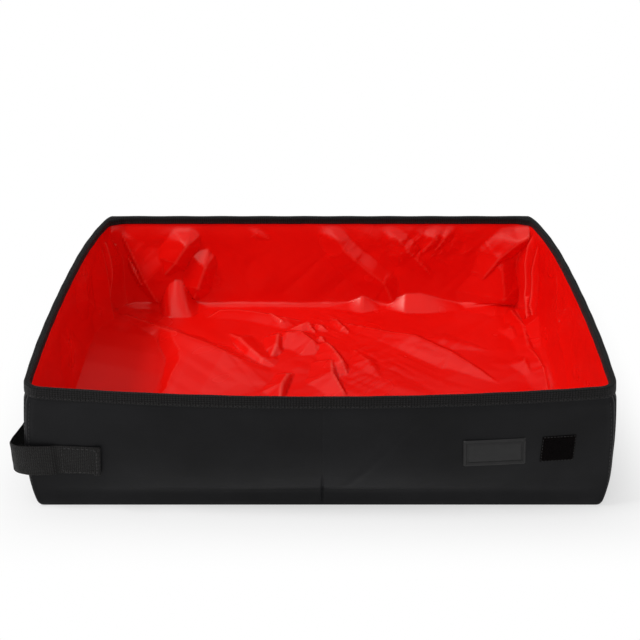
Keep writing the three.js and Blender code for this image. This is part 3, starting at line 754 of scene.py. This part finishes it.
def corner_film(side, end, rises):
    """Corner of the lining, from the end panel's edge round to the long panel's edge. end is -1 in front and
    1 behind. One spare column beyond each edge lies on that neighbour, and its rise is the neighbour's."""
    z = FLOOR_Z + rises
    depth = lining_depth(z)
    half_x, half_y = half_sides(z, depth)
    share = np.clip(z / TRAY_H, 0, 1)
    wide, long = (BACK_RX, BACK_RY) if end > 0 else (FRONT_R, FRONT_R)
    radius_x = corner_radius(wide, share, depth)
    radius_y = corner_radius(long, share ** (2 if end > 0 else 1), depth)
    looser = CORNER_SLACK * (1 - eased((z - 50) / 32)) if end > 0 else 0
    radius_x, radius_y = radius_x + looser, radius_y + looser
    edge_y = (PLAN_Y - rises) / FLOOR_Y * half_y
    edge_x = long_wall_edge(z) / FLOOR_X * half_x
    t = np.linspace(0, 1, CORNER_CELLS["a"])[:, None]
    up_end = edge_y + (np.maximum(half_y - radius_y, edge_y + 0.05) - edge_y) * t
    turn = np.linspace(0, math.pi / 2, CORNER_CELLS["arc"])[1:, None]
    arc_x = half_x - radius_x + radius_x * np.cos(turn)
    arc_y = half_y - radius_y + radius_y * np.sin(turn)
    t = np.linspace(0, 1, CORNER_CELLS["b"])[1:, None]
    across = half_x - radius_x + (edge_x - (half_x - radius_x)) * t
    x = np.concatenate([np.broadcast_to(half_x, up_end.shape), arc_x, across])
    y = np.concatenate([up_end, arc_y, np.broadcast_to(half_y, across.shape)])
    x = np.concatenate([half_x[None], x, edge_x[None] - CELL])
    y = np.concatenate([edge_y[None] - CELL, y, half_y[None]])
    lean_x, lean_y = np.gradient(y, axis=0), -np.gradient(x, axis=0)
    size = np.hypot(lean_x, lean_y)
    tucked = (lean_x < 0) | (lean_y < 0)
    lean_x, lean_y = np.abs(lean_x) / size, np.abs(lean_y) / size
    on_end = film_rise(side * (FLOOR_X + rises) + 0 * y, end * y / half_y * FLOOR_Y)
    on_long = film_rise(side * x / half_x * FLOOR_X, end * (FLOOR_Y + rises) + 0 * x)
    rise = lean_x**2 * on_end + lean_y**2 * on_long - TUCK * tucked
    x, y, z = x - rise * lean_x, y - rise * lean_y, z + 0 * x
    inset_x, inset_y = FLOOR_X * (1 - x / half_x), FLOOR_Y * (1 - y / half_y)
    flat_x, flat_y = side * x / half_x * FLOOR_X, end * y / half_y * FLOOR_Y
    inset_x, inset_y, up = bridged(flat_x, flat_y, inset_x, inset_y, z - FLOOR_Z)
    z = FLOOR_Z + up
    half_x, half_y = half_sides(z, lining_depth(z))
    x, y = half_x * (1 - inset_x / FLOOR_X), half_y * (1 - inset_y / FLOOR_Y)
    x, y = bowed(x, end * y, z, half_x, half_y)
    points = np.stack([side * x, rounded_in(x, y, z, lining_depth(z)), z], -1)
    return points if side * end < 0 else points[::-1]


for side, sign in (("left", -1), ("right", 1)):
    columns = left_columns if sign < 0 else right_columns
    share = (spare(columns) - CREASE_X) / (sign * PLAN_X - CREASE_X)
    Share, Rise = np.meshgrid(share, spare(rises), indexing="ij")
    for wall, end in (("front", -1), ("back", 1)):
        X = CREASE_X + Share * (sign * long_wall_edge(FLOOR_Z + Rise) - CREASE_X)
        Y = end * (FLOOR_Y + Rise)
        panel = film_panel(f"film_{wall}_{side}", film_points(X, Y)[::end])
        with_wall(panel)
        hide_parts(f"lining_{wall}_{side}")
        corner = film_panel(f"film_corner_{wall}_{side}", corner_film(sign, end, spare(rises)))
        with_corner(corner, side)
        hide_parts(f"lining_corner_{wall}_{side}")
    Row, Rise = np.meshgrid(spare(end_rows) / PLAN_Y, spare(rises), indexing="ij")
    points = film_points(sign * (FLOOR_X + Rise), Row * (PLAN_Y - Rise))
    panel = film_panel(f"film_end_{side}", points[::-sign])
    with_wall(panel)
    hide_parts(f"lining_end_{side}")


# The rim tape
# Coarse woven black tape, 20 mm wide, folded over the rim of shell and lining and sewn through near both
# edges. It is cut into one length for each wall and each corner, as the tray folds there.
TAPE_FOOT_Z, TAPE_INNER_Z = 88.2, 89.5
TAPE_T = 0.8
TAPE_WIDE = 4.3
TAPE_FULL = 0.7
SEW_LINE = 1.5
TAPE_STITCH = (2.3, 0.55, 3.1)
top_r = TAPE_WIDE / 2
top_z = TRAY_H - top_r
over = np.linspace(0, math.pi, 25)
square = np.where(over < math.pi / 2, 0.5, 1)
over_up = top_r * np.sin(over) ** square
over_in = top_r - top_r * np.sign(np.cos(over)) * np.abs(np.cos(over)) ** square
outer_z = np.concatenate(
    [TAPE_FOOT_Z + np.array([-1, -0.3, 0, 0.25, 0.6]), np.arange(TAPE_FOOT_Z + 1.2, top_z, 0.7)]
)
outer_depth = np.concatenate([[0.9, 0.6, 0.32, 0.12, 0.02], np.zeros(len(outer_z) - 5)])
inner_z = np.concatenate([np.arange(top_z - 0.5, 90.6, -0.7), TAPE_INNER_Z + np.array([0.6, 0.25, 0, -0.3])])
inner_depth = TAPE_WIDE - np.concatenate([np.zeros(len(inner_z) - 4), [0.02, 0.12, 0.32, 0.6]])
tape_z = np.concatenate([outer_z, top_z + over_up, inner_z])
tape_depth = np.concatenate([outer_depth, over_in, inner_depth])
tape_run = np.concatenate([[0], np.cumsum(np.hypot(np.diff(tape_z), np.diff(tape_depth)))])
tape_thick = np.minimum(TAPE_T, 0.35 + 0.5 * np.minimum(tape_run - tape_run[1], tape_run[-2] - tape_run))
sew_lines = (tape_run[1] + SEW_LINE, tape_run[-2] - SEW_LINE)
tape_steps = even_steps(
    front=100 // ROUGH_STEP,
    front_a=1,
    front_arc=16 // ROUGH_STEP,
    front_b=40 // ROUGH_STEP,
    end=60 // ROUGH_STEP,
    back_a=1,
    back_arc=64 // ROUGH_STEP,
    back_b=2,
    back=100 // ROUGH_STEP,
)


def way_along(line):
    """How far along a line of points each one is."""
    return np.concatenate([[0], np.cumsum(np.linalg.norm(np.diff(line, axis=0), axis=1))])


def stitches(name, line, outward, size):
    """Row of stitches along a line of points: each is a small spindle of six sides, pointed at its ends and
    laid along the line, half sunk into the cloth. Its size is a length, a thickness and a pitch."""
    length, thick, pitch = size
    run = way_along(line)
    at = np.arange(pitch / 2, run[-1], pitch)

    def on(values, at):
        return np.stack([np.interp(at, run, values[:, k]) for k in range(3)], 1)

    ahead, behind, up = on(line, at + 0.3), on(line, at - 0.3), on(outward, at)
    centre = (ahead + behind) / 2
    along = ahead - behind
    along /= np.linalg.norm(along, axis=1, keepdims=True)
    across = np.cross(along, up)
    across /= np.linalg.norm(across, axis=1, keepdims=True)
    around = np.arange(6) * math.pi / 3
    reach = np.array([-0.75, 0, 0.75])
    thin = np.array([0.72, 1, 0.72])
    ring_u = (thin[:, None] * np.cos(around)).ravel()
    ring_v = (thin[:, None] * np.sin(around)).ravel()
    own = np.stack([np.repeat(reach, 6) * length / 2, ring_u * thick / 2, ring_v * thick / 2], 1)
    own = np.concatenate([own, [[-length / 2, 0, 0], [length / 2, 0, 0]]])
    axes = np.stack([along, across, up], 1)
    points = centre[:, None] + np.einsum("pk,nkc->npc", own, axes)
    k = np.arange(6)
    after = (k + 1) % 6
    belts = [np.stack([k + r, after + r, after + r + 6, k + r + 6], 1) for r in (0, 6)]
    caps = [np.stack([k, np.full(6, 18), after], 1), np.stack([after + 12, np.full(6, 19), k + 12], 1)]
    offset = (np.arange(len(at)) * 20)[:, None, None]
    faces = (np.array(belts).reshape(1, -1, 4) + offset).reshape(-1, 4).tolist()
    faces += (np.array(caps).reshape(1, -1, 3) + offset).reshape(-1, 3).tolist()
    mesh = bpy.data.meshes.new(name)
    mesh.from_pydata((points.reshape(-1, 3) * MM).tolist(), [], faces)
    mesh.shade_smooth()
    return add_piece(name, mesh, thread)


def combined(operation, first, second):
    """Math on two sockets. Gives its socket."""
    node = new_node(first, "Math")
    node.operation = operation
    for k, given in enumerate((first, second)):
        node.id_data.links.new(given, node.inputs[k])
    return node.outputs[0]


def woven(surface, along_mm, across_mm):
    """Plain weave on the piece's own flat map: two crossed rows of ribs, one thread high and one low."""
    flat = new_node(surface, "TexCoord").outputs["UV"]
    ribs = []
    for pitch, direction, phase in ((along_mm, "X", 0), (across_mm, "Y", 1)):
        wave = new_node(flat, "TexWave", Vector=flat, Scale=0.314 / (pitch * MM), Phase_Offset=phase)
        wave.bands_direction = direction
        ribs.append(fill(wave, Distortion=3, Detail_Scale=400).outputs["Fac"])
    return combined("MULTIPLY", *ribs)


rim_tape, surface, place = new_material("rim_tape", 0.66, 0.12)
threads = woven(surface, 1.9, 1.5)
fill(
    surface,
    Sheen_Weight=0.05,
    Base_Color=two_tones(threads, 0.1, 0.75, (0.001, 0.0008, 0.0008), (0.0095, 0.0077, 0.0082)),
    Normal=relief(threads, 0.4, relief(grain(place, 1000, 2), 0.3)),
)
thread, surface, place = new_material("black_thread", 0.6, 0.25)
fill(
    surface,
    Base_Color=two_tones(grain(place, 700, 2), 0.3, 0.7, (0.013, 0.013, 0.013), (0.038, 0.036, 0.036)),
    Normal=relief(grain(place, 2500, 2), 0.08),
)
for side, sign in (("left", -1), ("right", 1)):
    points, panels = half_ring(sign, tape_z, tape_depth, tape_steps)
    outer = TAPE_FULL * (1 - tape_depth / TAPE_WIDE)
    points[..., 0] += sign * outer * eased((points[..., 1] + 145) / 60)
    points[..., 1] += 1.6 * outer * eased((points[..., 1] - 100) / 40)
    outward = sign * grid_normals(points)
    points = points[1:-1, 1:-1]
    panels = fewer(panels, 1)
    run = tape_run[1:-1]
    sunk = sum(0.28 * np.exp(-(((run - line) / 0.55) ** 2)) for line in sew_lines)
    wander = 0.12 * np.sin(points[..., 0] / 6.1 + points[..., 1] / 4.7) * np.sin(run / 2.1)
    points = points - outward * (sunk - wander)[..., None]
    ends = [panels["front"][0], panels["back"][1]]
    points[ends, :, 0] = CREASE_X
    outward[ends, :, 0] = 0
    flat_map = np.stack(np.meshgrid(sign * way_along(points[:, 0]), run, indexing="ij"), -1)
    for wall in WALLS:
        part = slice(panels[wall][0], panels[wall][1] + 1)
        name = f"{wall}_{side}"
        face, normal, uv = points[part][::sign], outward[part][::sign], flat_map[part][::sign]
        strip = sheet_piece(f"binding_{name}", face, normal, tape_thick[1:-1], rim_tape, uv)
        made = [strip]
        for row, line in zip(("outer", "inner"), sew_lines):
            k = int(np.argmin(np.abs(run - line)))
            line, up = points[part, k], outward[part, k]
            made.append(stitches(f"stitches_{row}_{name}", line, up, TAPE_STITCH))
        for piece in made:
            if wall.startswith("corner"):
                with_corner(piece, side)
            else:
                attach(piece, name)
        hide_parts(f"tape_{name}")


# The strap
# Black ribbed webbing, about 23 mm wide. It is sewn to the front near the left corner, with its end folded
# under, and loops round the corner to the end wall, where its hook pad grips the loop pad.
STRAP_W, STRAP_T, STRAP_Z = 23.4, 1.5, 37.5
STRAP_CLIMB, STRAP_SKEW = 4.6, 0.09
SEWN_X = (-178.6, -150.4)
HEM, FRONT_FROM_Y = 4.6, -140
WALL_FACE = 0.8
PILE_T, PAD_GAP, HOOK_T, LAYER_GAP = 1.2, 0.55, 1.0, 0.3
TAIL_DEPTH = WALL_FACE - PILE_T - PAD_GAP - HOOK_T - LAYER_GAP - STRAP_T / 2
ROOT_DEPTH = WALL_FACE - STRAP_T / 2
PAD_END_Y = (-91, -65)


def front_y(x, z, depth):
    """Place of the front wall's face at width x and height z, less the depth."""
    half_x, half_y = half_sides(z, depth)
    return -half_y - fullness(z)[1] - BOW_FRONT * smooth_rows(z, FRONT_BOW_SHARES) * (1 - (x / half_x) ** 2)


def left_x(y, z, depth):
    """Place of the left wall's face at length y and height z, less the depth."""
    half_x, half_y = half_sides(z, depth)
    return -half_x - fullness(z)[0] - BOW_END * smooth_rows(z, END_BOW_SHARES) * (1 - (y / half_y) ** 2)


tail_y = np.array([-65, -74, -83, -91.0])
sewn_x = np.array([-178.9, -172, -164, -157, -150.4])
mid_z = np.array(float(STRAP_Z))
loop_knots = np.array(
    [(left_x(y, mid_z, TAIL_DEPTH), y) for y in tail_y]
    + [(-211, -106), (-211, -121), (-213, -133), (-214.4, -141), (-213.9, -147)]
    + [(-210.3, -151.6), (-204, -154.2), (-195, -155.2)]
    + [(x, front_y(x, mid_z, ROOT_DEPTH)) for x in sewn_x]
)


def smooth_path(knots, count):
    """Smooth curve through the knots at even steps of their chord length: cubics with the mean slopes."""
    run = way_along(knots)
    at = np.linspace(0, run[-1], count)
    row = np.clip(np.searchsorted(run, at) - 1, 0, len(run) - 2)
    step = (run[row + 1] - run[row])[:, None]
    slope = np.gradient(knots, run, axis=0)
    t = ((at - run[row]) / step[:, 0])[:, None]
    return cubic(t, step, knots[row], slope[row], knots[row + 1], slope[row + 1]), at


path, path_run = smooth_path(loop_knots, int(230 / ROUGH_STEP))
half_width = STRAP_W / 2
across = half_width * np.concatenate(
    [[-1.04, -1.0, -0.985, -0.96], np.linspace(-0.92, 0.92, int(24 / ROUGH_STEP)), [0.96, 0.985, 1.0, 1.04]]
)
edge_thick = np.clip(1 - np.clip((np.abs(across) / half_width - 0.9) / 0.1, 0, 1.02) ** 2.5, 0.12, 1)
climb = STRAP_CLIMB * (1 - np.exp(-np.maximum(path_run - 78, 0) / 22))
z = STRAP_Z + climb[:, None] + across[None, :]
x, y = path[:, :1], path[:, 1:]
in_front = y < FRONT_FROM_Y
x = x + STRAP_SKEW * across[None, :] * eased((x + 185) / 18) * in_front
tail_lean = 1 - eased((y + 91) / -40)
root_lean = eased((x + 214) / 35) * in_front
x = x + tail_lean * (left_x(y, z, TAIL_DEPTH) - left_x(y, mid_z, TAIL_DEPTH)) * ~in_front
y = y + root_lean * (front_y(x, z, ROOT_DEPTH) - front_y(x, mid_z, ROOT_DEPTH))
hemmed = eased((path[:, :1] - SEWN_X[1] + HEM) / 0.8) * in_front
slack = eased((-180 - x) / 4) * eased((x + 214) / 22) * in_front
y = y - slack * (1.2 - 0.5 * across / half_width)
middle = np.stack([x, y, z], -1)
before, after = 2 * middle[:1] - middle[1:2], 2 * middle[-1:] - middle[-2:-1]
outward = grid_normals(np.concatenate([before, middle, after]))
middle = middle[:, 1:-1]
puff = 0.16 * np.sin(middle[..., 0] / 2.7 + middle[..., 2] / 5) * np.sin(middle[..., 2] / 3.1)
swell = (STRAP_T / 2) * edge_thick[1:-1] + 1.2 * hemmed + puff
face = middle + outward * swell[..., None]
thick = swell + (STRAP_T / 2) * edge_thick[1:-1] * 0.98
flat_map = np.stack(np.meshgrid(path_run, across[1:-1], indexing="ij"), -1)
webbing, surface, place = new_material("webbing", 0.72, 0.15)
ribs = woven(surface, 1.5, 1.2)
fill(
    surface,
    Sheen_Weight=0.06,
    Base_Color=two_tones(ribs, 0.1, 0.75, (0.003, 0.0026, 0.0025), (0.0135, 0.0122, 0.0116)),
    Normal=relief(ribs, 0.35, relief(grain(place, 1300, 2), 0.1)),
)
strap = sheet_piece("strap_webbing", face, outward, thick, webbing, flat_map)
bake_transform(strap)
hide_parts("strap_sewn_end", "strap_loop")


def nearest(values, wanted):
    """Index of the value nearest the wanted one."""
    return int(np.argmin(np.abs(values - wanted)))


STITCH_IN, STRAP_STITCH = 1.8, (2.3, 0.8, 3.2)
path_x = np.where(path[:, 1] < -150, path[:, 0], np.inf)
end_column = nearest(path_x, SEWN_X[1] - STITCH_IN)
root_column = nearest(path_x, SEWN_X[0] + 1.6)
low_row = nearest(across[1:-1], STITCH_IN - half_width)
high_row = nearest(across[1:-1], half_width - STITCH_IN)
up_rows, along_columns = slice(low_row, high_row + 1), slice(root_column + 1, end_column)
for name, column, row in (
    ("end", end_column, up_rows),
    ("root", root_column, up_rows),
    ("low", along_columns, low_row),
    ("high", along_columns, high_row),
):
    line, up = face[column, row], outward[column, row]
    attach(stitches(f"stitches_strap_{name}", line, up, STRAP_STITCH), "front_left")


# The corner seams
# Black thread through both edges of the cloth where a front, end or back panel meets at a corner. The
# stitches run up beside the raised seam, which is part of the corner's own cloth.
SEAM_TOP, SEAM_FOOT = 86, 4
SEAM_STITCH = (2.2, 0.5, 3.0)
for side in ("left", "right"):
    faces, normals, panels = shell_faces[side]
    z = faces[0, :, 2]
    rows = slice(nearest(z, SEAM_FOOT), nearest(z, SEAM_TOP))
    for wall, beside in (("front", 5), ("back", 4)):
        first, last = panels[f"{wall}_seam"]
        middle = first + round((last - first) * SEAM_SHARE[f"{wall}_seam"])
        for k, column in enumerate((middle - beside // ROUGH_STEP - 1, middle + beside // ROUGH_STEP + 1)):
            name = f"stitches_corner_{wall}_{side}_{k + 1}"
            line, up = faces[column, rows], normals[column, rows]
            with_corner(stitches(name, line, up, SEAM_STITCH), side)


# The loop pads
# Black loop pile on a woven ground, sewn flat along its edges. One is on the left end wall under the
# strap's tail, the other on the front near the right corner, where the strap holds the folded tray.
PAD_FRONT_X, PAD_FRONT_Z = (150.8, 174.2), (41.2, 61.6)
PAD_END_Z = (STRAP_Z - STRAP_W / 2, STRAP_Z + STRAP_W / 2)
PAD_BORDER, PAD_STITCH = 1.5, (1.7, 0.4, 2.3)
PAD_CELL = 0.55 * ROUGH_STEP

pile, surface, place = new_material("loop_pile", 0.95, 0.03)
loops = new_node(place, "TexVoronoi", Vector=place, Scale=1300).outputs["Distance"]
fill(
    surface,
    Base_Color=two_tones(loops, 0.1, 0.8, (0.0045, 0.0034, 0.0036), (0.0016, 0.0013, 0.0013)),
    Normal=relief(loops, 0.5),
)


def inside_edge(a, b, corner):
    """Distance inwards from the outline of a rectangle that spans the two grids of places, with its corners
    rounded. Below zero outside."""
    half_a, half_b = np.ptp(a) / 2 - corner, np.ptp(b) / 2 - corner
    out_a = np.abs(a - a.min() - np.ptp(a) / 2) - half_a
    out_b = np.abs(b - b.min() - np.ptp(b) / 2) - half_b
    outside = np.hypot(np.maximum(out_a, 0), np.maximum(out_b, 0))
    return corner - outside - np.minimum(np.maximum(out_a, out_b), 0)


def pile_height(a, b):
    """Thickness of a loop pad: a low sewn border, then the pile, which is full and a little uneven."""
    edge = inside_edge(a, b, 1.2)
    tufts = 0.09 * np.sin(a * 2.3 + 1.7 * np.sin(b * 1.1)) * np.sin(b * 2.6 + 1.3 * np.sin(a * 0.9))
    rise = 0.35 + (PILE_T - 0.42 + tufts) * eased((edge - 0.9) / 0.9)
    return np.where(edge < 0, 0.05, np.minimum(rise, 0.05 + 1.2 * np.sqrt(np.maximum(edge, 0))))


def wall_patch(name, spans, wall, height_of, material, body, node):
    """Flat piece on a wall's face, from its two spans and its thickness at each place. wall says where the
    face is, and a spare row all round serves the normals. Gives the piece's face and its normals."""
    (a0, a1), (b0, b1) = spans
    A, B = np.meshgrid(*(spare(steps_between(*span, PAD_CELL)) for span in spans), indexing="ij")
    thick = height_of(np.clip(A, min(a0, a1), max(a0, a1)), np.clip(B, b0, b1))
    points = wall(A, B, thick)
    face, normal = points[1:-1, 1:-1], grid_normals(points)
    made = sheet_piece(name, face, normal, thick[1:-1, 1:-1], material)
    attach(made, body)
    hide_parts(node)
    return face, normal


def on_front(x, z, height):
    """Points over the front wall's face."""
    return np.stack([x, front_y(x, z, WALL_FACE - height), z], -1)


def on_left(y, z, height):
    """Points over the left end wall's face."""
    return np.stack([left_x(y, z, WALL_FACE - height), y, z], -1)


def border_stitches(name, points, normals, body):
    """Stitches round a patch, along the middle of its sewn border."""
    k = round(PAD_BORDER / 2 / PAD_CELL)
    inner = slice(k, -k)
    for number, edge in enumerate(((inner, k), (inner, -k - 1), (k, inner), (-k - 1, inner))):
        row = stitches(f"{name}_{number + 1}", points[edge], normals[edge], PAD_STITCH)
        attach(row, body)


spans = (PAD_FRONT_X, PAD_FRONT_Z)
drawn = wall_patch(
    "pad_front_right", spans, on_front, pile_height, pile, "front_right", "loop_pad_front_right"
)
border_stitches("stitches_pad_front", *drawn, "front_right")
spans = (PAD_END_Y[::-1], PAD_END_Z)
drawn = wall_patch(
    "pad_end_left", spans, on_left, pile_height, pile, "end_left", "loop_pad_end_left"
)
border_stitches("stitches_pad_end", *drawn, "end_left")


# The hook pad
# Moulded black hooks on the inner side of the strap's tail, sewn to the webbing. They face the loop pad
# on the left end wall, a little way off it.
hooks, surface, place = new_material("hook_tape", 0.5, 0.4)
stems = new_node(place, "TexVoronoi", Vector=place, Scale=1000, Randomness=0.15).outputs["Distance"]
fill(
    surface,
    Base_Color=two_tones(stems, 0.2, 0.5, (0.022, 0.022, 0.024), (0.007, 0.007, 0.008)),
    Normal=relief(stems, -0.4),
)


def hook_height(a, b):
    """Thickness of the hook pad: a thin ground with a rounded edge and even rows of low knobs."""
    edge = inside_edge(a, b, 1.0)
    knobs = 0.22 * np.maximum(np.sin(a * math.pi / 0.9) * np.sin(b * math.pi / 0.9), 0)
    return np.minimum(HOOK_T - 0.25 + knobs * (edge > 1), 0.1 + 1.3 * np.sqrt(np.maximum(edge, 0)))


def under_tail(y, z, height):
    """Points on the inner side of the strap's tail, which faces the end wall."""
    return np.stack([left_x(y, z, TAIL_DEPTH) + STRAP_T / 2 + 0.05 + height, y, z], -1)


spans = (PAD_END_Y, PAD_END_Z)
wall_patch("hook_pad", spans, under_tail, hook_height, hooks, "strap", "strap_hook_pad")


# The badge
# Soft moulded rubber, sewn to the front: a raised rounded frame, a groove inside it, and a plate that is
# left bare.
BADGE_X, BADGE_Z = (97.9, 140.7), (40.7, 61.7)
BADGE_SKEW = 0.07
BADGE_PLATE, BADGE_RISE = 0.75, 0.65
FRAME_W, GROOVE_W = 2.0, 1.0

rubber, surface, place = new_material("badge_rubber", 0.42, 0.3)
fill(
    surface,
    Base_Color=two_tones(grain(place, 160, 4), 0.3, 0.7, (0.005, 0.0048, 0.005), (0.0075, 0.0072, 0.0075)),
    Roughness=range_of(grain(place, 300, 3), 0.42, 0.58),
    Normal=relief(grain(place, 2200, 2), 0.04),
)


def badge_height(a, b):
    """Thickness of the badge: frame with a rounded top, groove, and the plate."""
    edge = inside_edge(a, b, 1.5)
    frame_top = np.sin(math.pi * np.clip(edge / FRAME_W, 0, 1)) ** 0.45
    plate = eased((edge - FRAME_W - GROOVE_W) / 0.5)
    rise = np.where(edge < FRAME_W, 0.3 + (BADGE_PLATE + BADGE_RISE - 0.3) * frame_top, 0.3 + 0.5 * plate)
    return np.where(edge < 0, 0.05, rise)


def on_front_askew(x, z, height):
    """Points over the front wall's face, leaning a little to the left with height."""
    return on_front(x - BADGE_SKEW * (z - BADGE_Z[0]), z, height)


spans = (BADGE_X, BADGE_Z)
wall_patch("badge_plate", spans, on_front_askew, badge_height, rubber, "front_right", "badge")


# The floor and the light
# A white sweep without a horizon, which the camera and reflections see as plain white away from the
# part, and soft light from large lamps above. The part's shadow falls on the floor.
ground = bpy.data.meshes.new("ground")
ground.from_pydata([(-8, -8, 0), (8, -8, 0), (8, 8, 0), (-8, 8, 0)], [], [(0, 1, 2, 3)])
ground_object = bpy.data.objects.new("ground", ground)
bpy.context.collection.objects.link(ground_object)


def seen_directly(near):
    """1 for rays from the camera and those that gloss or glass send on, else 0. Gives the socket."""
    rays = new_node(near, "LightPath").outputs
    sent_on = combined("MAXIMUM", rays["Is Glossy Ray"], rays["Is Transmission Ray"])
    return combined("MAXIMUM", rays["Is Camera Ray"], sent_on)


def either(share, first, second, end):
    """Mixes two shaders by the share of the second and leads them to the end's surface."""
    mix = new_node(share, "MixShader")
    for k, given in enumerate((share, first.outputs[0], second.outputs[0])):
        mix.id_data.links.new(given, mix.inputs[k])
    fill(end, Surface=mix.outputs[0])


paper, surface, place = new_material("white_floor", 0.9, 0.0)
fill(surface, Base_Color=(0.86, 0.86, 0.86, 1))
white = new_node(surface, "Emission", Color=(1, 1, 1, 1), Strength=1)
for operation, amount, output in (
    ("ABSOLUTE", (0, 0, 0), "Vector"),
    ("SUBTRACT", (0.2, 0.15, 0), "Vector"),
    ("MAXIMUM", (0, 0, 0), "Vector"),
    ("LENGTH", (0, 0, 0), "Value"),
):
    step = new_node(place, "VectorMath")
    step.operation = operation
    step.inputs[1].default_value = amount
    step.id_data.links.new(place, step.inputs[0])
    place = step.outputs[output]
away = new_node(place, "MapRange", Value=place, From_Min=0.0, From_Max=0.075, To_Min=0.55, To_Max=1)
away.interpolation_type = "SMOOTHSTEP"
shown = combined("MULTIPLY", away.outputs["Result"], seen_directly(place))
either(shown, surface, white, paper.node_tree.nodes["Material Output"])
ground.materials.append(paper)


def lamp(name, place, aim, size, watts):
    """Rectangular soft lamp at a place, facing the aim."""
    data = bpy.data.lights.new(name, "AREA")
    data.shape = "RECTANGLE"
    data.size, data.size_y = size
    data.energy = watts
    made = bpy.data.objects.new(name, data)
    made.location = place
    x, y, z = np.array(place) - np.array(aim)
    made.rotation_euler = (math.atan2(math.hypot(x, y), z), 0, math.atan2(x, -y))
    bpy.context.collection.objects.link(made)


lamp("left_lamp", (-1.25, -0.3, 1.66), (0, 0, 0), (0.5, 0.5), 19.5)
lamp("top_lamp", (0.0, 0.3, 1.9), (0, 0, 0), (2.0, 2.0), 2)
lamp("front_lamp", (-0.7, -1.7, 1.1), (0, 0, 0.05), (1.4, 1.0), 7.5)
world = bpy.data.worlds.new("world")
world.use_nodes = True
bpy.context.scene.world = world
ambient = fill(world.node_tree.nodes["Background"], Color=(1, 1, 1, 1), Strength=0.53)
direction = new_node(ambient, "TexCoord").outputs["Generated"]
levels = []
for toward, stops in (
    ((0, 0, 1), ((0.06, 1), (0.2, 0.08))),
    ((0, -0.5, 0.86), ((0.08, 0.08), (0.5, 0.95))),
):
    along = new_node(ambient, "VectorMath")
    along.operation = "DOT_PRODUCT"
    along.inputs[1].default_value = toward
    along.id_data.links.new(direction, along.inputs[0])
    level = new_node(ambient, "MapRange", Value=along.outputs["Value"])
    level.interpolation_type = "SMOOTHSTEP"
    (from_min, to_min), (from_max, to_max) = stops
    fill(level, From_Min=from_min, To_Min=to_min, From_Max=from_max, To_Max=to_max)
    levels.append(level.outputs["Result"])
backdrop = new_node(ambient, "Background", Color=combined("MAXIMUM", *levels))
either(seen_directly(ambient), ambient, backdrop, world.node_tree.nodes["World Output"])
bpy.context.scene.view_settings.view_transform = "Standard"
